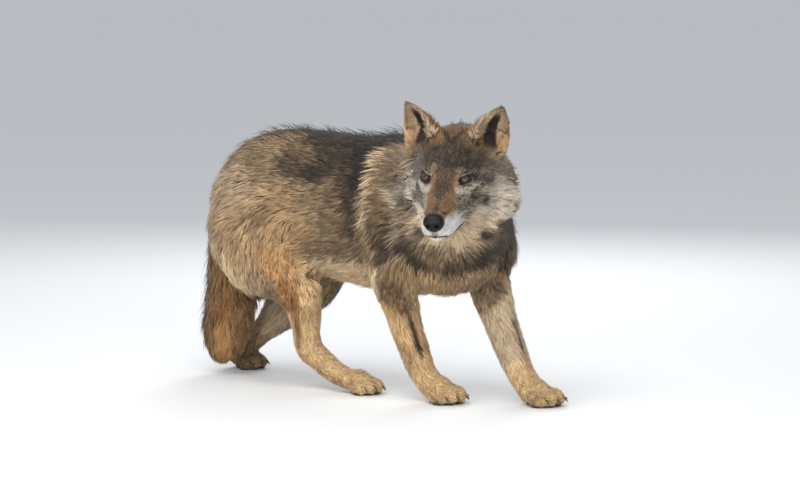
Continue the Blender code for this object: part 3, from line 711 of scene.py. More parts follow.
# %% Markings of the body
# (hair, start, end, radius, strength), in millimetres; y is the distance from the midline, on both sides.
BODY_MARKINGS = [
    ("pale_agouti", (-400, 100, 470), (-270, 150, 420), 95, 0.8),  # rump
    ("pale_agouti", (-300, 155, 380), (-250, 150, 300), 70, 0.9),
    # painted light: paler low on the rump, where it faces down, over its own pale hair
    ("cream", (-270, 160, 370), (-240, 155, 310), 50, 0.5),
    ("tan", (-300, 120, 360), (-100, 140, 350), 85, 0.75),  # thigh
    ("ochre", (-155, 135, 330), (-85, 125, 270), 40, 0.5),
    ("tan", (-165, 135, 470), (-80, 130, 400), 50, 0.5),
    ("brown_agouti", (-40, 110, 340), (120, 120, 340), 40, 0.6),  # lower flank
    ("cream", (-200, 0, 280), (200, 0, 250), 80, 0.85),  # belly
    ("cream", (-40, 110, 290), (170, 115, 295), 36, 0.85),
    ("brown_agouti", (-340, 0, 610), (-100, 0, 640), 70, 0.4),  # line of the back
    ("dark_brown", (-360, 0, 600), (-50, 0, 645), 40, 0.8),
    ("brown_agouti", (-100, 100, 570), (40, 100, 570), 55, 0.75),
    ("dark_grey", (-60, 0, 640), (170, 0, 640), 70, 0.92),  # saddle
    ("dark_brown", (-10, 70, 615), (100, 80, 605), 50, 0.9),
    ("black", (20, 20, 630), (160, 30, 630), 45, 0.8),
    ("brown_agouti", (30, 120, 550), (50, 140, 430), 55, 0.6),
    ("dark_brown", (60, 100, 580), (95, 140, 470), 30, 0.85),
    ("black", (92, 70, 602), (112, 130, 530), 30, 0.92),
    ("black", (112, 130, 530), (114, 142, 480), 25, 0.88),
    ("dark_brown", (114, 142, 480), (113, 146, 420), 22, 0.8),
    ("black", (-62, 118, 535), (-22, 118, 530), 24, 0.75),  # dark tufts of the side
    ("dark_grey", (-34, 108, 560), (40, 105, 575), 34, 0.65),
    ("dark_brown", (-150, 100, 560), (-100, 115, 530), 26, 0.55),
    ("brown_agouti", (-200, 140, 400), (-160, 140, 440), 26, 0.55),
    ("cream", (150, 90, 600), (147, 136, 520), 16, 0.8),  # collar
    ("cream", (147, 136, 520), (148, 148, 450), 15, 0.8),
    ("cream", (150, 148, 450), (156, 146, 380), 14, 0.65),
    ("agouti", (196, 110, 590), (196, 142, 480), 36, 0.95),
    ("dark_brown", (222, 105, 600), (205, 125, 560), 16, 0.55),
    ("brown_agouti", (190, 145, 470), (180, 146, 400), 30, 0.9),
    ("tan", (236, 130, 560), (240, 150, 500), 26, 0.7),
    ("dark_brown", (215, 150, 430), (210, 150, 370), 28, 0.9),
    ("brown_agouti", (262, 140, 500), (270, 140, 440), 36, 0.85),
    ("dark_brown", (255, 148, 450), (262, 148, 400), 20, 0.85),
    ("dark_brown", (270, 146, 475), (276, 146, 440), 15, 0.6),
    ("brown_agouti", (300, 120, 400), (400, 50, 380), 55, 0.7),  # neck below the face
    ("dark_brown", (262, 144, 430), (258, 146, 375), 18, 0.9),  # dark ring under the face
    ("black", (258, 146, 375), (300, 112, 322), 17, 0.82),
    ("black", (300, 112, 322), (371, 98, 318), 17, 0.72),
    ("dark_brown", (371, 98, 320), (437, 46, 346), 20, 0.85),
    ("dark_grey", (437, 46, 346), (442, 0, 380), 24, 0.85),
    ("dark_grey", (415, 75, 380), (415, 60, 440), 26, 0.75),
    ("tan", (235, 140, 295), (325, 80, 290), 26, 0.8),  # chest
    ("tan", (325, 80, 290), (410, 30, 300), 26, 0.7),
    ("tan", (330, 0, 265), (300, 90, 275), 45, 0.7),
    ("brown_agouti", (222, 140, 285), (232, 133, 240), 24, 0.75),  # shoulder
    ("black", (-475, 0, 500), (-475, 0, 330), 34, 0.85),  # back of the tail
    ("cream", (-420, 90, 330), (-280, 140, 260), 44, 0.8),  # breeching
    ("dark_brown", (-455, 0, 260), (-455, 0, 120), 24, 0.55),
]
# The same, but y is to the left of the midline, for one side alone.
SIDE_MARKINGS = [
    ("ochre", (205, -100, 215), (225, -80, 170), 50, 0.8),  # near foreleg
    # pale_ochre here and below: the legs' own pale hair, partly painted light on the lower legs and feet
    ("pale_ochre", (225, -90, 190), (265, -60, 75), 60, 0.55),
    ("brown_agouti", (215, -130, 262), (250, -118, 235), 26, 0.8),
    ("brown_agouti", (252, -118, 240), (275, -95, 140), 8, 0.8),
    ("dark_grey", (262, -107, 204), (276, -96, 140), 5.5, 0.8),
    ("brown_agouti", (275, -96, 140), (312, -85, 53), 7, 0.8),
    ("dark_grey", (276, -95, 140), (312, -84, 55), 5.5, 0.85),
    ("pale_ochre", (290, -60, 50), (350, -60, 30), 55, 0.9),
    ("tan", (330, 100, 265), (360, 90, 225), 60, 0.85),  # far foreleg
    ("pale_cream", (380, 85, 205), (450, 70, 80), 60, 0.95),
    ("brown_agouti", (380, 53, 275), (355, 75, 235), 32, 0.85),
    ("brown_agouti", (430, 84, 194), (503, 56, 71), 7.5, 0.85),
    ("pale_ochre", (480, 60, 50), (560, 60, 30), 55, 0.85),
    ("pale_ochre", (-56, -100, 236), (-58, -100, 150), 36, 0.6),  # near hind leg
    ("ochre", (-130, -120, 280), (-100, -100, 150), 34, 0.7),
    ("pale_ochre", (-100, -80, 130), (100, -60, 30), 60, 0.92),
    ("rust", (-110, -150, 262), (-88, -140, 224), 16, 0.7),
    ("rust", (-150, -120, 270), (-116, -125, 210), 16, 0.55),
    ("rust", (-88, -140, 224), (-92, -118, 150), 10, 0.6),
    ("rust", (-94, -115, 150), (-100, -105, 105), 10, 0.6),
    ("agouti", (-260, 110, 230), (-330, 110, 190), 60, 0.55),  # far hind leg
    ("pale_cream", (-300, 110, 190), (-400, 100, 110), 50, 0.7),
    ("tan", (-430, 100, 70), (-420, 100, 30), 55, 0.8),
]
TAIL_MARKINGS = [
    ("brown_agouti", (-415, -20, 330), (-415, -20, 230), 70, 0.75),
    ("cream", (-365, -50, 330), (-372, -60, 240), 44, 0.9),
    ("tail", (-390, -20, 300), (-420, -20, 50), 90, 0.95),
    ("rust", (-370, -60, 215), (-375, -60, 185), 20, 0.4),
    ("rust", (-400, -70, 165), (-395, -60, 130), 18, 0.55),
    ("ochre", (-385, -70, 115), (-400, -60, 60), 26, 0.6),
    ("dark_brown", (-440, -40, 230), (-455, -30, 130), 18, 0.55),
]

# %% Markings of the head
HEAD_MARKINGS = [
    ("forehead", (-20, 0, 36), (-75, 0, 75), 50, 0.98),  # forehead
    ("forehead", (-30, 42, 44), (-75, 70, 55), 36, 0.95),
    ("forehead", (-50, 85, 26), (-75, 100, 10), 28, 0.6),
    ("crown", (-95, 45, 88), (-105, 88, 66), 32, 0.9),  # roots of the ears
    ("ochre", (-104, 112, 52), (-108, 124, 36), 14, 0.5),
    ("crown", (-105, 0, 86), (-112, 60, 86), 30, 0.9),  # crown
    ("dark_brown", (-145, 0, 88), (-180, 0, 80), 28, 0.75),
    ("black", (-66, 2, 69), (-108, 28, 79), 5, 0.8),  # dark lines of the crown
    ("black", (-82, 60, 58), (-86, 50, 70), 7, 0.75),
    ("dark_brown", (-120, 30, 78), (-128, 36, 76), 8, 0.65),
    ("dark_brown", (-4, 3, 24), (-30, 4, 46), 6, 0.6),
    ("pale_agouti", (-12, 33, 24), (-3, 36, 17), 10, 0.36),  # brow spot
    ("muzzle", (105, 0, -30), (20, 0, 4), 34, 0.92),  # bridge of the muzzle
    ("rust", (90, 22, -34), (36, 26, -12), 12.5, 0.55),
    ("forehead", (50, 0, -8), (0, 0, 20), 20, 0.7),
    ("dark_brown", (104, 0, -26), (80, 0, -18), 8, 0.35),
    ("dark_brown", (106, 18, -36), (98, 24, -44), 6, 0.45),
    ("grizzled", (44, 42, -38), (12, 52, -34), 13, 0.8),
    ("cream", (104, 28, -50), (60, 38, -56), 9, 0.65),
    ("white", (118, 20, -70), (70, 36, -80), 22, 1),  # upper lip
    ("white", (70, 38, -82), (18, 56, -90), 18, 0.92),
    ("white", (30, 56, -84), (-10, 74, -88), 12, 0.7),
    ("pale_grey", (-10, 74, -88), (-40, 94, -90), 16, 0.85),
    ("cream", (30, 0, -125), (-10, 45, -150), 30, 0.9),  # throat and cheek
    ("pale_cream", (0, 66, -116), (-50, 98, -122), 28, 0.85),
    ("white", (116, 0, -102), (60, 16, -114), 16, 0.85),  # chin
    ("pale_grey", (-50, 110, -85), (-100, 135, -100), 34, 0.85),
    ("pale_grey", (-80, 112, -36), (-110, 130, -56), 22, 0.7),
    ("pale_grey", (-34, 88, -36), (-66, 106, -56), 12, 0.7),
    ("pale_agouti", (-12, 57, 18), (6, 36, 10), 8, 0.45),  # round the eye
    ("pale_grey", (24, 36, -14), (4, 52, -22), 9, 0.85),
    ("pale_grey", (4, 52, -20), (-14, 66, -14), 8, 0.9),
    ("tan", (24, 32, -4), (16, 30, 4), 6, 0.6),
    ("black", (-14, 66, -1), (-20, 71, 1), 3.5, 0.6),
    ("smoke", (-24, 72, 0), (-66, 99, -20), 13, 0.85),
    ("smoke", (-14, 74, -26), (8, 62, -46), 10, 0.62),
    ("smoke", (-6, 72, -46), (-34, 86, -66), 11, 0.66),
    ("dark_grey", (-28, 85, -62), (-36, 88, -72), 7, 0.55),
    ("dark_brown", (-24, 74, -150), (-50, 84, -165), 13, 0.75),
    ("dark_brown", (-100, 105, -170), (-130, 130, -160), 34, 0.6),
    ("tan", (-130, 100, 20), (-170, 110, -10), 34, 0.4),
]

# The same on one side of the head alone.
HEAD_SIDE_MARKINGS = [
    ("brown_agouti", (-36, -112, -108), (-54, -134, -90), 22, 0.85),
    ("brown_agouti", (-100, -150, -40), (-130, -170, -60), 34, 0.7),
]


# %% Colours at any point
TAIL_MIDDLE = np.array([-0.41, -0.015])  # seen from above
SMALL_MARKING = 20  # below this radius the edges are less ragged


def near_line(points, start, end):
    line = end - start
    share = np.clip((points - start) @ line / max(line @ line, 1e-12), 0, 1)
    return np.linalg.norm(points - start - share[:, None] * line, axis=1)


def ear_parts(points, normals):
    """Kinds of hair on an ear, with shares: back, rim, front, pale inner edge and painted shade in the
    hollow.
    """
    along, across, apart = ear_places(points)
    facing = ((normals @ TURN) * folded(points)[1]) @ EAR_FACING
    near_ear, front = ease(0.062, 0.052, apart), ease(0.05, 0.35, facing)
    is_ear = ease(0.20, 0.32, along) * near_ear
    narrowing = 1 - 0.55 * ease(0.45, 0.95, along)
    slit = np.abs(across - 0.003) / np.maximum(0.0195 - 0.018 * along, 0.002)
    hollow = near_ear * front * ease(1.20, 0.80, slit) * ease(0.82, 0.60, along) * ease(0.08, 0.20, along)
    rim = is_ear * ease(0.024, 0.032, across / narrowing)
    inner = is_ear * front * (1 - hollow) * (1 - rim)
    medial = inner * ease(-0.002, -0.012, across)
    return [
        ("rust", 0.8 * is_ear), ("tan", 0.85 * rim * (1 - hollow)), ("pale_agouti", 0.85 * inner),
        # the hollow's near-black is painted shade deep in the ear
        ("cream", 0.7 * medial), ("ear_hollow_shade", 0.92 * hollow),
    ]


def both_sides(places):
    return np.stack([places[:, 0], np.abs(places[:, 1]), places[:, 2]], axis=1)


def hair_colours(points, normals):
    """Under, middle and tip colours and the share of black tips: ten values for each point."""
    body, head = in_body(points), in_head(points)
    values = np.repeat(HAIR_VALUES["agouti"][None], len(points), axis=0)
    ragged = 0.55 * (blotches(points, 0.022, 1) - 0.5) + 0.35 * (blotches(points, 0.008, 2) - 0.5)
    x, y, z = both_sides(head).T
    is_head = ease(-0.17, -0.13, x) * ease(0.165, 0.140, y) * ease(-0.20, -0.16, z)
    from_tail = np.hypot(*(body[:, :2] - TAIL_MIDDLE).T)
    is_tail = ease(0.085, 0.07, from_tail) * ease(0.40, 0.30, body[:, 2])

    def lay(hair, share):
        share = share[:, None]
        values[:] = values * (1 - share) + HAIR_VALUES[hair] * share

    def brush(markings, place, where=1.0):
        for hair, start, end, radius, strength in markings:
            edge = near_line(place, np.array(start) / 1000, np.array(end) / 1000) / (radius / 1000)
            edge += ragged * (0.9 if radius < SMALL_MARKING else 1.0)
            lay(hair, ease(1.45, 0.60, edge) * strength * where)

    brush(BODY_MARKINGS, both_sides(body))
    brush(SIDE_MARKINGS, body)
    brush(TAIL_MARKINGS, body, is_tail)
    lay("grizzled", is_head)
    brush(HEAD_MARKINGS, both_sides(head))
    brush(HEAD_SIDE_MARKINGS, head)
    for hair, share in ear_parts(points, normals):
        lay(hair, share)
    return values


# %% Markings on the skin
skin_points, skin_normals = points_of(skin.data), normals_of(skin.data)
skin_hair = hair_colours(skin_points, skin_normals)
paint_points(skin.data, 0.50 * skin_hair[:, :3] + 0.15 * skin_hair[:, 3:6])
skin_finish = Finish("under_coat", Roughness=0.9, Specular_IOR_Level=0.2)
streaks = skin_finish.noise(420)
skin_finish.feed("Base Color", skin_finish.mix(streaks * 0.5, skin_finish.painted(), (0.05, 0.04, 0.03, 1)))
skin_finish.bump(streaks, 0.001)
wear(skin, skin_finish)
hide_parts(*FLESH)
print("skin painted with", len(HAIRS), "kinds of hair")

# %% [markdown]
# ## Eyes and lids
# An eyeball has a slight bulge over the iris, and its colours run from the black pupil through amber fibres
# to a dark ring. The lids are one ring of skin round the almond opening: it is tucked under itself against
# the eyeball, thick and black at its edge, and runs out until it dives into the face.

# %% Eyeballs
GAZE = unit(np.array([0.73, 0.21, 0.65]))
IRIS_RADIUS = 0.0086
PUPIL_SHARE = 0.36  # of the iris
BULGE = 0.0008
AMBER, AMBER_EDGE = linear(92, 66, 50), linear(40, 26, 19)
IRIS_RING, EYE_WHITE = linear(22, 15, 12), linear(30, 22, 18)
IRIS_ANGLE = math.asin(IRIS_RADIUS / EYE_RADIUS)


def eyeball(side):
    """Points, faces and colours of an eyeball with its pole in the middle of the pupil."""
    mirror = np.array([1, side, 1])
    gaze = GAZE * mirror
    first = unit(np.cross(gaze, [0, 0, 1]))
    second = np.cross(gaze, first)
    down = np.concatenate([np.linspace(0.02, 1.12 * IRIS_ANGLE, 34), np.linspace(1.25 * IRIS_ANGLE, 3.1, 18)])
    turn = turns(96)
    radius = EYE_RADIUS + BULGE * ease(1.1 * IRIS_ANGLE, 0.5 * IRIS_ANGLE, down)
    around = circle(turn, first, second)
    rays = np.cos(down)[:, None, None] * gaze + np.sin(down)[:, None, None] * around
    points, faces = lofted(from_head(EYE_CENTRE * mirror + rays * radius[:, None, None]))
    share = np.append(np.repeat(down / IRIS_ANGLE, len(turn)), [0, 3])[:, None]
    spoke = np.append(np.tile(turn, len(down)), [0, 0])
    fibres = blotches(np.stack([np.cos(spoke) * 9, np.sin(spoke) * 9, share[:, 0]], axis=1), 0.55, 8)[:, None]
    outer_share = ease(0.55, 1.0, share)
    amber = AMBER * (0.5 + 0.6 * fibres) * (1 - outer_share) + AMBER_EDGE * (0.7 + 0.4 * fibres) * outer_share
    colours = amber * ease(PUPIL_SHARE - 0.03, PUPIL_SHARE + 0.04, share) + 0.002
    for colour, start, end in ((IRIS_RING, 0.86, 1.0), (EYE_WHITE, 1.06, 1.3)):
        colours = colours + (colour - colours) * ease(start, end, share)
    return points, faces, colours


eye_finish = Finish("eye", Roughness=0.30, Specular_IOR_Level=0.25, Coat_Weight=0.30, Coat_Roughness=0.04)
eye_finish.feed("Base Color", eye_finish.painted())
for word, side in (("left", 1), ("right", -1)):
    *shape, colours = eyeball(side)
    eye = piece(f"eyeball_{word}", [shape], colours)
    wear(eye, eye_finish)
    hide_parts(f"eye_{word}")

# %% Lids
skin_tree = BVHTree.FromObject(skin, bpy.context.evaluated_depsgraph_get())
LID_RINGS = [  # (share of the way from the opening to the foot, height over the eyeball or the face)
    (0.30, 0.0002), (0.00, 0.0003), (-0.01, 0.0010), (0.04, 0.0019), (0.16, 0.0026), (0.32, 0.0026),
    (0.50, 0.0021), (0.70, 0.0014), (0.88, 0.0004), (1.06, -0.0020),
]
LID_POINTS = 72
LID_BLACK = linear(20, 17, 17)
LID_REACH = 0.03  # how far out the rays start that look for the face
LID_DEEPEST = -0.004  # out from the eyeball's middle, where a ray finds no face


def lid(side):
    """Points, faces and colours of one eye's lids."""
    mirror = np.array([1, side, 1])
    turn = turns(LID_POINTS)
    out_row = (EYE_OUT * mirror) @ TURN.T
    rings, shares = [], []
    for share, lift in LID_RINGS:
        wide, high, low = OPENING + (LID_FOOT - OPENING) * share
        pointed = 1 + 0.25 * (1 - min(max(share, 0), 1))
        rise = np.sign(np.sin(turn)) * np.abs(np.sin(turn)) ** pointed
        along = np.cos(turn) * wide
        up = rise * np.where(rise > 0, high, low) + OPENING_LIFT
        flat = EYE_CENTRE + along[:, None] * EYE_ALONG + up[:, None] * EYE_UP
        ball = (EYE_RADIUS + lift) ** 2 - along**2 - up**2
        on_ball = np.where(ball > 0, np.sqrt(np.maximum(ball, 0)), LID_DEEPEST)
        on_face = []
        for place in from_head((flat + LID_REACH * EYE_OUT) * mirror):
            hit = skin_tree.ray_cast(Vector(place), Vector(-out_row), 2 * LID_REACH)
            on_face.append(LID_REACH - hit[3] + lift if hit[0] is not None else LID_DEEPEST)
        far = np.array(on_face) if share > 0.6 else on_ball
        out = np.maximum(far, on_ball) if share > 0.2 or lift > 0.001 else on_ball
        rings.append(from_head((flat + out[:, None] * EYE_OUT) * mirror))
        corner = np.where(np.cos(turn) < 0, 0.42, 0.28) * np.abs(np.cos(turn)) ** 3
        shares.append(share + (0.16 * np.sin(turn) ** 2 - corner) * (share > 0.1))
    points, faces = lofted(rings, looped=True)
    fur = hair_colours(points, np.tile(out_row, (len(points), 1)))
    black = ease(0.68, 0.56, np.concatenate(shares))[:, None]
    colours = (0.34 * fur[:, 3:6] + 0.10 * fur[:, 6:9]) * (1 - black) + LID_BLACK * black
    return points, faces, colours


lid_shapes = [lid(side) for side in (1, -1)]
lids = piece("lids", [shape[:2] for shape in lid_shapes], np.vstack([shape[2] for shape in lid_shapes]))
lid_finish = Finish("lid", Roughness=0.55, Specular_IOR_Level=0.3)
lid_finish.feed("Base Color", lid_finish.painted())
lid_finish.bump(lid_finish.noise(900), 0.0005)
wear(lids, lid_finish)
print("lids", len(lids.data.polygons), "faces")

# %% [markdown]
# ## Nose, lips, claws and pads
# The nose pad starts as a boxy ball. Two nostrils, the slits that curve away from them and the groove
# between them are pressed in. The lips are a dark cord of skin that is half sunk along the line of the
# mouth. Each toe carries a curved claw, and the pads have flat undersides on the floor.

# %% Nose
NOSTRIL_OUT, NOSTRIL_UP, NOSTRIL_SIZE = 0.0108, -0.0015, 0.0040
SLIT_END, SLIT_SIZE, GROOVE_SIZE = 0.0225, 0.0018, 0.0011
# The nostrils, slits and groove are painted blacker than the leather: painted shade in the recesses.
NOSE_BLACK, RECESS_SHADE_BLACK = linear(8, 8, 10), linear(4, 4, 4)


def nose_shape():
    turn = turns(112)
    down = np.linspace(0.03, 3.11, 72)[:, None]
    aside, upward = np.sin(down) * np.cos(turn), np.sin(down) * np.sin(turn)
    ray = np.stack([np.cos(down) + 0 * turn, aside, upward], axis=-1)
    place = np.sign(ray) * np.abs(ray) ** np.array([0.92, 0.86, 0.90]) * NOSE_RADII
    x, y, z = place[..., 0], np.abs(place[..., 1]), place[..., 2]
    front = ease(0.002, 0.009, x)
    hole = np.exp(-((y - NOSTRIL_OUT) ** 2 + (z - NOSTRIL_UP) ** 2) / NOSTRIL_SIZE**2)
    slit_y = np.clip(y, NOSTRIL_OUT, SLIT_END)
    slit_z = -0.0035 - 0.0035 * ease(NOSTRIL_OUT, SLIT_END, slit_y)
    slit = np.exp(-((y - slit_y) ** 2 + (z - slit_z) ** 2) / SLIT_SIZE**2)
    groove = np.exp(-((y / GROOVE_SIZE) ** 2)) * ease(0.006, -0.002, z)
    wings = np.exp(-((y - 0.0150) ** 2 + (z - 0.0055) ** 2) / 0.0045**2)
    press = front * (0.0085 * hole + 0.0014 * groove - 0.0014 * wings)
    press += 0.0042 * slit * ease(-0.004, 0.006, x)
    place = place * (1 - (press / 0.0175)[..., None] * np.array([1, 0.35, 0.2]))
    place[..., 1] *= 1 - 0.22 * ease(0.0, -0.020, z)
    # painted shade: darker in the nostrils, the slits and the groove
    dark = np.clip(front * hole + 0.8 * slit + 0.5 * groove * front, 0, 1)[..., None]
    points, faces = lofted(from_head(place + NOSE_MIDDLE))
    colours = NOSE_BLACK * (1 - dark) + RECESS_SHADE_BLACK * dark
    return points, faces, np.vstack([colours.reshape(-1, 3), NOSE_BLACK, NOSE_BLACK])


*shape, colours = nose_shape()
nose = piece("nose_pad", [shape], colours)
nose_finish = Finish(
    "nose_leather", Roughness=0.44, Specular_IOR_Level=0.22, Coat_Weight=0.07, Coat_Roughness=0.20
)
pebbles = nose_finish.node("ShaderNodeTexVoronoi", values={"Vector": nose_finish.place(), "Scale": 850.0})
nose_finish.feed("Base Color", nose_finish.painted())
nose_finish.bump(pebbles, 0.0006, 0.7)
wear(nose, nose_finish)
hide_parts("nose")

# %% Lips
# The line of the mouth from the side: (x, z, radius of the lip) from the front to the corner.
MOUTH = np.array([
    (0.126, -0.0880, 0.0016), (0.112, -0.0890, 0.0017), (0.090, -0.0960, 0.0019), (0.070, -0.0995, 0.0022),
    (0.045, -0.1000, 0.0027), (0.020, -0.1010, 0.0030), (0.004, -0.1035, 0.0024), (-0.004, -0.1050, 0.0010),
])


def mouth_line():
    """Places on the skin along the left lip, and the lip's radius there."""
    marks = np.linspace(0, len(MOUTH) - 1, 60)
    x, z, radius = (np.interp(marks, range(len(MOUTH)), column) for column in MOUTH.T)
    inward = Vector(TURN @ np.array([0, -1.0, 0]))
    places = []
    for a, b in zip(x, z):
        start = from_head(np.array([a, 0.12, b]))
        hit = skin_tree.ray_cast(Vector(start), inward, 0.12)
        places.append(in_head(hit[0]) if hit[0] is not None else np.array([a, 0.0, b]))
    places = np.array(places)
    places[0, 1] = 0
    for _ in range(3):
        places[1:-1] = (places[:-2] + places[1:-1] + places[2:]) / 3
    return places, radius


lip_line, lip_radius = mouth_line()


def lip_shape():
    places = np.vstack([lip_line[:0:-1] * [1, -1, 1], lip_line])
    radius = np.concatenate([lip_radius[:0:-1], lip_radius])
    along = unit(np.gradient(places, axis=0))
    out = unit(np.cross(along, [0, 0, 1]))
    out *= np.sign((out * (places - [0.03, 0, 0]))[:, :2].sum(axis=1))[:, None]
    up = 0.8 * np.cross(out, along)
    centre = places + out * (0.35 * radius)[:, None]
    rings = centre[:, None] + radius[:, None, None] * circle(turns(12), out[:, None], up[:, None])
    return lofted(from_head(rings))


lips = piece("lips", [lip_shape()])
lip_finish = Finish("lip", Roughness=0.42, Base_Color=(0.012, 0.010, 0.010, 1))
lip_finish.bump(lip_finish.noise(700), 0.0004)
wear(lips, lip_finish)

# %% Claws and pads
# (x, y, heading in degrees, size) of each paw, and the toes' middles in its frame.
PAWS = [
    (0.318, -0.058, -4, 1.04), (0.522, 0.057, 2, 1.04), (0.068, -0.061, -3, 0.94), (-0.452, 0.094, 3, 0.94),
]
TOES = [(0.034, 0.0145, 0.0215), (0.034, -0.0145, 0.0215), (0.017, 0.0345, 0.0195), (0.017, -0.0345, 0.0195)]


def from_paw(places, paw):
    x, y, heading, size = paw
    turn = np.array(Matrix.Rotation(math.radians(heading), 3, "Z"))
    return np.asarray(places) * size @ turn.T + STANCE + [x, y, 0]


def claw(toe, paw):
    """A flattened, curved cone ahead of the toe."""
    share = np.linspace(0, 1, 9)
    drop = 0.003 * share + 0.0125 * share**2
    spine = np.stack([0.014 + 0.023 * share, 0 * share, 0.006 - drop], axis=1) + toe
    thick = 0.0035 * (1 - share) ** 0.6 + 0.0005
    ring = circle(turns(12), np.array([0, 0.72, 0]), np.array([0.25, 0, 1]))
    rings = spine[:, None] + thick[:, None, None] * ring
    rings[..., 2] = np.maximum(rings[..., 2], 0.0006)
    return lofted(from_paw(rings, paw))


def pad(middle_place, radii, paw):
    """A rounded cushion, flat where it meets the floor."""
    down = np.linspace(0.05, 3.09, 18)[:, None]
    turn = turns(28)
    ahead, aside = np.sin(down) * np.cos(turn), np.sin(down) * np.sin(turn)
    rings = np.stack([ahead, aside, np.cos(down) + 0 * turn], axis=-1)
    rings = np.sign(rings) * np.abs(rings) ** 0.85 * radii + middle_place
    rings[..., 2] = np.maximum(rings[..., 2], 0)
    return lofted(from_paw(rings, paw))


claws = piece("claws", [claw(np.array(toe), paw) for paw, toe in product(PAWS, TOES)])
claw_finish = Finish("claw", Roughness=0.38, Base_Color=(0.030, 0.024, 0.020, 1))
claw_finish.bump(claw_finish.noise(300, detail=3), 0.0003)
wear(claws, claw_finish)
cushions = [pad((x + 0.002, y, 0.004), (0.013, 0.0095, 0.005), paw) for paw, (x, y, _) in product(PAWS, TOES)]
cushions += [pad((-0.010, 0, 0.005), (0.020, 0.022, 0.006), paw) for paw in PAWS]
pads = piece("pads", cushions)
pad_finish = Finish("pad", Roughness=0.62, Base_Color=(0.028, 0.024, 0.022, 1))
pad_finish.bump(pad_finish.noise(900, detail=3), 0.0006)
wear(pads, pad_finish)
print("claws", len(claws.data.polygons), "pads", len(pads.data.polygons), "faces")

# %% [markdown]
# ## The coat, tuft by tuft
# A tuft is a closed, three-sided blade that leaves the skin, bends to the lie of the coat and ends in a
# point. It has four faces where the hair is short and ten where it is long. Roots are spread over the
# skin's own triangles, closer together where the tufts are narrow. Neighbours lean to a shared tip, as damp
# fur does, and every blade is then pressed or lifted to the coat's depth over the skin. Geometry Nodes
# could scatter blades too, but each one here is bent, coloured and unwrapped by its own place, which is
# simpler with arrays. Each coat piece gets the skin's own unwrap: a tuft's faces are laid side by side in a
# small patch at its root's place.

# %% Parts of the skin for the coat pieces
def triangles_of(mesh):
    mesh.calc_loop_triangles()
    return read(mesh.loop_triangles, "vertices", kind=np.int32)


LIP_MARGIN, SOLE_MARGIN = 0.0026, 0.0025
lid_corners = triangles_of(lids.data) + len(skin_points)
corners = np.vstack([triangles_of(skin.data), lid_corners])
skin_points = np.vstack([skin_points, points_of(lids.data)])
skin_normals = np.vstack([skin_normals, normals_of(lids.data)])
skin_tree = BVHTree.FromPolygons([tuple(p) for p in skin_points], [tuple(c) for c in corners.tolist()])


def nearest_node(places):
    """The name of the CAD node nearest to each place."""
    solids, owner = bmesh.new(), []
    for name in FLESH:
        had = len(solids.faces)
        solids.from_mesh(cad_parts[name].data)
        owner += [name] * (len(solids.faces) - had)
    tree = BVHTree.FromBMesh(solids)
    solids.free()
    return np.array([owner[tree.find_nearest(Vector(place))[2]] for place in places])


centres = skin_points[corners].mean(axis=1)
centre_head = in_head(centres)
on_lids = np.arange(len(corners)) >= len(corners) - len(lid_corners)


def is_bare(points, on_lid):
    """Where no hair grows: nose, lips, the lids' black edge, the skin beneath the lids and under the paws."""
    place = in_head(points)
    stretches = product((1, -1), zip(lip_line[:-1:4], lip_line[4::4]))
    beside_mouth = np.min([near_line(place * [1, side, 1], *ends) for side, ends in stretches], axis=0)
    bare = (nose_distance(points) < 1.12) | (beside_mouth < LIP_MARGIN) | (points[:, 2] < SOLE_MARGIN)
    return bare | (np.where(on_lid, eye_ring(points, 0.56), eye_ring(points, 0.92)) < 1)


node_of = nearest_node(centres)


def on_node(*words):
    """Which triangles are nearest to CAD nodes whose names start like that."""
    return np.any([np.char.startswith(node_of, word) for word in words], axis=0)


on_head = on_node("head", "lower_jaw")
on_face = on_head & (centre_head[:, 0] - 0.25 * np.maximum(-0.05 - centre_head[:, 2], 0) > -0.062)
is_throat = on_head & (centre_head[:, 2] < -0.098) & (centre_head[:, 0] > -0.030)
is_right = centres[:, 1] < STANCE[1]
PARTS = {  # name: (triangles of the skin, number of tufts, whether the blades are short, slot)
    "coat_face": (on_face & ~is_throat, 47000, True, "coat"),
    "coat_throat": (is_throat, 9000, True, "throat_coat"),
    "coat_ears": (on_node("ear"), 15000, True, "ear_coat"),
    "coat_ruff": (on_head & ~on_face & ~is_throat, 17500, False, "coat"),
    "coat_neck": (on_node("neck"), 9500, False, "coat"),
    "coat_shoulders": (on_node("foreleg"), 15000, False, "coat"),
    "coat_right": (on_node("trunk") & is_right, 15500, False, "coat"),
    "coat_left": (on_node("trunk") & ~is_right, 13500, False, "coat"),
    "coat_haunches": (on_node("hindleg"), 19000, False, "coat"),
    "coat_tail": (on_node("tail"), 12000, False, "coat"),
    "coat_forelegs": (on_node("forearm", "paw"), 29000, True, "leg_coat"),
    "coat_hindlegs": (on_node("shank", "foot"), 27000, True, "leg_coat"),
}
print({name: int(where.sum()) for name, (where, *_) in PARTS.items()})


# %% Unwrap a part of the skin
UV_MARGIN = 0.01


def unwrapped(name, triangles):
    """UV places of the part's triangle corners, spread over the unit square."""
    used, renamed = np.unique(triangles, return_inverse=True)
    part = mesh_object(name + "_unwrap", skin_points[used], renamed.reshape(-1, 3).tolist())
    part.data.uv_layers.new(name="OFBake")
    bpy.context.view_layer.objects.active = part
    part.select_set(True)
    bpy.ops.object.mode_set(mode="EDIT")
    bpy.ops.mesh.select_all(action="SELECT")
    bpy.ops.uv.smart_project(angle_limit=math.radians(66), island_margin=0.004)
    bpy.ops.object.mode_set(mode="OBJECT")
    places = read(part.data.uv_layers["OFBake"].data, "uv", 2).reshape(-1, 3, 2).astype(float)
    bpy.data.meshes.remove(part.data)
    low, high = places.min(axis=(0, 1)), places.max(axis=(0, 1))
    return UV_MARGIN + (1 - 2 * UV_MARGIN) * (places - low) / (high - low)


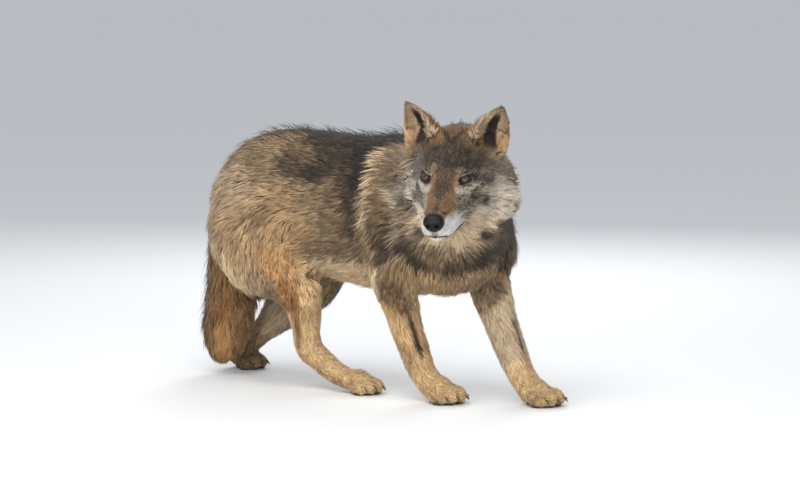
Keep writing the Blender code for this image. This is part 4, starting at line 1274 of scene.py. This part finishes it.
# %% Roots, clumps and combing
def spread(triangles, widths, count):
    """Which triangle each root is on, and its three shares of the corners."""
    a, b, c = (skin_points[triangles[:, i]] for i in range(3))
    crowd = np.linalg.norm(np.cross(b - a, c - a), axis=1) / widths**2
    marks = np.cumsum(crowd)
    chosen = np.searchsorted(marks, (np.arange(count) + chance.random(count)) / count * marks[-1])
    chosen = np.minimum(chosen, len(triangles) - 1)
    first, second = np.sqrt(chance.random(count)), chance.random(count)
    return chosen, np.stack([1 - first, first * (1 - second), first * second], axis=1)


def clumps_of(roots, size):
    """For each root, the index of the root that leads its clump."""
    leaders = chance.choice(len(roots), max(1, len(roots) // size), replace=False)
    tree = KDTree(len(leaders))
    for index, leader in enumerate(leaders):
        tree.insert(roots[leader], index)
    tree.balance()
    return leaders[[tree.find(root)[1] for root in roots]]


def at_height(points, heights):
    """Each point moved straight over the skin to that height."""
    moved = np.empty_like(points)
    for index, point in enumerate(points):
        near, _, face, _ = skin_tree.find_nearest(point)
        away = np.array(point) - near
        low = skin_points[corners[face]]
        outward = np.cross(low[1] - low[0], low[2] - low[0])
        outward /= max(np.linalg.norm(outward), 1e-12)
        if away @ outward < 0 or away @ away < 1e-10:
            away = outward
        moved[index] = np.array(near) + away / max(np.linalg.norm(away), 1e-9) * heights[index]
    return moved


# %% Blades
PATCH = 0.003  # across, in the unwrap
TAPERS = {1: (0.9,), 2: (0.75, 0.9)}  # each ring's share of the tuft's width, by the number of rings
FLOOR_STEP = 0.0002  # the least height over the floor grows by this from point to point of a blade


def blade_pattern(rings):
    """Faces of one blade, of three-point rings and a tip, and each face corner's place in the patch."""
    faces, places = [], []
    tip = 3 * rings
    for side in range(3):
        other = (side + 1) % 3
        left, right = side / 3, (side + 1) / 3 - 0.02
        for ring in range(rings):
            low, high = ring / rings, (ring + 1) / rings
            a, b = 3 * ring + side, 3 * ring + other
            if ring == rings - 1:
                faces.append((a, b, tip))
                places.append(((left, low), (right, low), ((left + right) / 2, high)))
            else:
                c, d = a + 3, b + 3
                faces += [(a, b, d), (a, d, c)]
                places.append(((left, low), (right, low), (right, high)))
                places.append(((left, low), (right, high), (left, high)))
    faces.append((0, 2, 1))
    places.append(((0.0, -0.08), (0.05, -0.02), (0.1, -0.08)))
    return np.array(faces), (np.array(places) - 0.5) * PATCH


def blades(name, spines, normals, widths, colours, roots_uv):
    """A mesh of blades. Spines are (blade, ring and tip, xyz) and colours go with them."""
    count, levels = spines.shape[:2]
    rings = levels - 1
    stride = 3 * rings + 1
    along = unit(np.gradient(spines, axis=1))
    across = unit(np.cross(normals[:, None], along))
    up = np.cross(along, across)
    points = np.empty((count, stride, 3))
    shading = np.empty_like(points)
    tints = np.empty_like(points)
    for ring, taper in enumerate(TAPERS[rings]):
        half = (widths * taper / 2)[:, None]
        for corner in range(3):
            angle = math.radians(90 + 120 * corner)
            lean = across[:, ring] * math.cos(angle) + up[:, ring] * math.sin(angle) * 0.6
            points[:, 3 * ring + corner] = spines[:, ring] + lean * half
            shading[:, 3 * ring + corner] = unit(normals + 0.45 * lean)
            tints[:, 3 * ring + corner] = colours[:, ring]
    points[:, -1], tints[:, -1] = spines[:, -1], colours[:, -1]
    points[..., 2] = np.maximum(points[..., 2], FLOOR_STEP * np.arange(stride))
    shading[:, -1] = unit(normals + 0.3 * along[:, -1])
    faces, places = blade_pattern(rings)
    loops = (faces[None] + stride * np.arange(count)[:, None, None]).reshape(-1)
    mesh = bpy.data.meshes.new(name)
    mesh.vertices.add(count * stride)
    mesh.vertices.foreach_set("co", points.astype(np.float32).ravel())
    mesh.loops.add(len(loops))
    mesh.loops.foreach_set("vertex_index", loops.astype(np.int32))
    mesh.polygons.add(len(loops) // 3)
    mesh.polygons.foreach_set("loop_start", np.arange(0, len(loops), 3, dtype=np.int32))
    mesh.update(calc_edges=True)
    paint_points(mesh, tints.reshape(-1, 3))
    layer = mesh.uv_layers.new(name="OFBake")
    spots = places[None] + roots_uv[:, None, None]
    layer.data.foreach_set("uv", np.clip(spots, 0, 1).astype(np.float32).ravel())
    mesh.polygons.foreach_set("use_smooth", np.ones(len(mesh.polygons), bool))
    mesh.normals_split_custom_set_from_vertices(shading.reshape(-1, 3).tolist())
    return added(name, mesh)


# %% Finish of the hair
hair_finish = Finish("hair", Roughness=0.72, Specular_IOR_Level=0.28, Sheen_Weight=0.12, Sheen_Roughness=0.5)
strokes = hair_finish.noise(900)
shade = hair_finish.mix(strokes.between(0.25, 0.75), (0.80, 0.78, 0.76, 1), (1, 1, 1, 1))
hair_finish.feed("Base Color", hair_finish.mix(1.0, hair_finish.painted(), shade, "MULTIPLY"))


# %% Grow one part of the coat
def room_over(points):
    """Height from each point of the skin to the outside of the coat."""
    found = np.zeros(len(points))
    for index, point in enumerate(points):
        near, normal, _, distance = outer_tree.find_nearest(Vector(point))
        found[index] = distance * np.sign((near - Vector(point)).dot(normal))
    return found


skin_room = room_over(skin_points)
CLUMP, LONG_LOCK, SHORT_LOCK = 8, 60, 90  # tufts in one, on average
GUARD_SHARE = 0.10  # of the tufts, which stand higher and are longer, thinner and darker
GUARD_HEIGHT, GUARD_LENGTH, GUARD_WIDTH, GUARD_BLACK = 1.45, 1.2, 0.7, 1.4
CROWN_LIFT, BACK_LIFT, TAIL_LIFT = 0.013, 0.010, 0.007
SHORT_ROOT, LONG_ROOT = 0.0008, 0.002  # how far a blade starts under the skin


def grow(name, where, count, short):
    """One coat piece: its roots, their combing, their colours and their blades."""
    triangles = corners[where]
    uv = unwrapped(name, triangles)
    if not FINE:
        count //= 4
    chosen, shares = spread(triangles, coat_at(centres[where])[1][:, 2], count)
    weights = shares[..., None]
    roots = (skin_points[triangles[chosen]] * weights).sum(axis=1)
    kept = ~is_bare(roots, on_lids[where][chosen])
    chosen, weights, roots = chosen[kept], weights[kept], roots[kept]
    count = len(roots)
    normals = unit((skin_normals[triangles[chosen]] * weights).sum(axis=1))
    roots_uv = (uv[chosen] * weights).sum(axis=1)
    flow, coat = coat_at(roots)
    length, depth, width = coat.T
    room = (skin_room[triangles[chosen]] * weights[..., 0]).sum(axis=1)
    depth = np.clip(room, 0.6 * depth, 2.2 * depth + 0.004)
    flow = unit(flow - (flow * normals).sum(axis=1, keepdims=True) * normals)

    lock = clumps_of(roots, SHORT_LOCK if short else LONG_LOCK)
    clump_lead = clumps_of(roots, CLUMP)
    mood = chance.random((count, 7))
    clump = chance.random((count, 7))[clump_lead]
    lock_mood = chance.random((count, 7))[lock]
    from_middle = np.linalg.norm(roots - roots[lock], axis=1)
    from_middle = np.clip(from_middle / (4.2 * width * (2.2 if short else 1.8)), 0, 1)
    across = np.cross(normals, flow)
    swing = 0.34 * (mood[:, :1] - 0.5) + 0.40 * (clump[:, :1] - 0.5) + 0.32 * (lock_mood[:, :1] - 0.5)
    on_tail = ease(0.33, 0.29, roots[:, 2]) * (np.hypot(*(roots[:, :2] - TAIL_MIDDLE).T) < 0.10)
    flow = unit(flow + across * swing * (1 + 0.9 * on_tail[:, None]))
    guard = mood[:, 6] < GUARD_SHARE
    reach = length * (0.62 + 0.25 * mood[:, 1] + 0.30 * clump[:, 1] + 0.25 * lock_mood[:, 1])
    rise = 0.52 + 0.32 * mood[:, 2] + 0.32 * clump[:, 2] + 0.16 * lock_mood[:, 2] - 0.16 * from_middle
    x, y, z = both_sides(in_head(roots)).T
    on_crown = ease(-0.14, -0.10, x) * ease(0.055, 0.075, z) * ease(0.075, 0.055, y)
    on_back = ease(0.575, 0.61, roots[:, 2]) * (x < -0.16) * guard
    height = depth * rise * np.where(guard, GUARD_HEIGHT, 1.0)
    height += CROWN_LIFT * on_crown * mood[:, 2] ** 2 + BACK_LIFT * on_back * mood[:, 2]
    height += TAIL_LIFT * on_tail * (lock_mood[:, 2] - 0.3)
    reach = reach * np.where(guard, GUARD_LENGTH, 1.0)
    tips = roots + flow * reach[:, None]
    tips += (tips[clump_lead] - tips) * (0.30 + 0.4 * clump[:, 3:4])
    tips += (tips[lock] - tips) * (0.12 if short else 0.26) * lock_mood[:, 3:4]
    tips = at_height(tips, height)
    if short:
        spines = np.stack([roots - normals * SHORT_ROOT, tips], axis=1)
    else:
        bend = at_height(roots + (tips - roots) * 0.42 + normals * 0.004, height * (0.60 + 0.2 * mood[:, 3]))
        spines = np.stack([roots - normals * LONG_ROOT, bend, tips], axis=1)

    hair = hair_colours(roots + normals * depth[:, None] * 0.5 + flow * reach[:, None] * 0.5, normals)
    # Tufts towards a lock's edge are darker: painted shade between the locks. The rest of the tone differs at
    # random.
    tone = 0.56 + 0.32 * clump[:, 4] + 0.46 * mood[:, 4] + 0.22 * lock_mood[:, 4] - 0.12 * from_middle
    tone = (tone * (0.88 + 0.24 * blotches(roots, 0.03, 5)))[:, None]
    under, middle_hair, tip = hair[:, :3], hair[:, 3:6], hair[:, 6:9]
    pick = 0.50 * mood[:, 5] + 0.50 * clump[:, 5] + 0.30 * (blotches(roots, 0.018, 6) - 0.5)
    black = (pick < hair[:, 9] * np.where(guard, GUARD_BLACK, 1.0))[:, None]
    dark_tip = np.where(black, HAIR_VALUES["black"][6:9] * 1.5, tip * 1.06)
    if short:
        low = 0.55 * under + 0.45 * middle_hair
        low = np.where(black, 0.55 * low, low)
        colours = np.stack([low, np.where(black, 0.25 * middle_hair + 0.75 * dark_tip, dark_tip)], axis=1)
    else:
        # Long tufts start in the hair's own dull under colour, halved as painted shade deep in the coat.
        colours = np.stack([under * 0.5, middle_hair, dark_tip], axis=1)
    colours = np.clip(colours * tone[:, None], 0, 1)
    widths = width * (0.8 + 0.4 * mood[:, 0]) * np.where(guard, GUARD_WIDTH, 1.0)
    clear = eye_ring(tips, 0.36) > 1
    coat_piece = blades(name, spines[clear], normals[clear], widths[clear], colours[clear], roots_uv[clear])
    wear(coat_piece, hair_finish)
    print(name, count, "tufts", len(coat_piece.data.polygons), "triangles")


# %% The whole coat
for name, (where, count, short, slot) in PARTS.items():
    grow(name, where, count, short)

# %% [markdown]
# ## Stage, light and camera
# A pale floor, a pale surround and large soft lamps, as in a studio. The camera stands far off, and its lens
# is long.

# %% Stage, light and camera
def build_stage():
    floor = mesh_object("floor", [(-60, -60, 0), (60, -60, 0), (60, 60, 0), (-60, 60, 0)], [(0, 1, 2, 3)])
    paint = Finish("pale_floor", Roughness=0.85, Base_Color=(0.78, 0.78, 0.77, 1))
    floor.data.materials.append(paint.material)
    world = bpy.data.worlds.new("surround")
    scene.world = world
    world.use_nodes = True
    sockets = world.node_tree.nodes["Background"].inputs
    sockets["Color"].default_value, sockets["Strength"].default_value = (0.80, 0.84, 0.90, 1), 0.75


AIM = Vector((0.0122, 0.1439, 0.3373))  # the point in the middle of the picture
DISTANCE, FOCAL_LENGTH, SENSOR_WIDTH = 9.0, 164.8, 36.0
AZIMUTH, ELEVATION = math.radians(40), math.radians(6)
BACK = Vector((
    math.sin(AZIMUTH) * math.cos(ELEVATION), -math.cos(AZIMUTH) * math.cos(ELEVATION), math.sin(ELEVATION)
))


def add_lamp(name, place, aim, size, power, colour):
    lamp = bpy.data.lights.new(name, "AREA")
    lamp.shape, lamp.size, lamp.energy, lamp.color = "DISK", size, power, colour
    made = added(name, lamp)
    made.location = place
    made.rotation_euler = (Vector(aim) - Vector(place)).to_track_quat("-Z", "Y").to_euler()


LAMPS = [  # name, place, what it is aimed at, size, power, colour
    ("sky_light", (0.3, -1.4, 3.2), (0, 0, 0.4), 2.6, 66, (1.0, 0.99, 0.97)),
    ("front_light", (2.8, -2.6, 1.5), (0.1, 0, 0.35), 1.8, 44, (1.0, 0.98, 0.95)),
    ("low_light", (1.2, -3.4, 0.7), (0, 0, 0.12), 1.4, 44, (1.0, 0.97, 0.93)),
    ("back_light", (-1.6, 2.6, 2.2), (0, 0, 0.5), 1.6, 45, (0.95, 0.97, 1.0)),
]
build_stage()
for lamp_row in LAMPS:
    add_lamp(*lamp_row)
lens = bpy.data.cameras.new("camera")
lens.sensor_width, lens.lens = SENSOR_WIDTH, FOCAL_LENGTH
camera = added("camera", lens)
camera.location = AIM + BACK * DISTANCE
camera.rotation_euler = (-BACK).to_track_quat("-Z", "Y").to_euler()
scene.camera = camera
scene.view_settings.view_transform = "Standard"
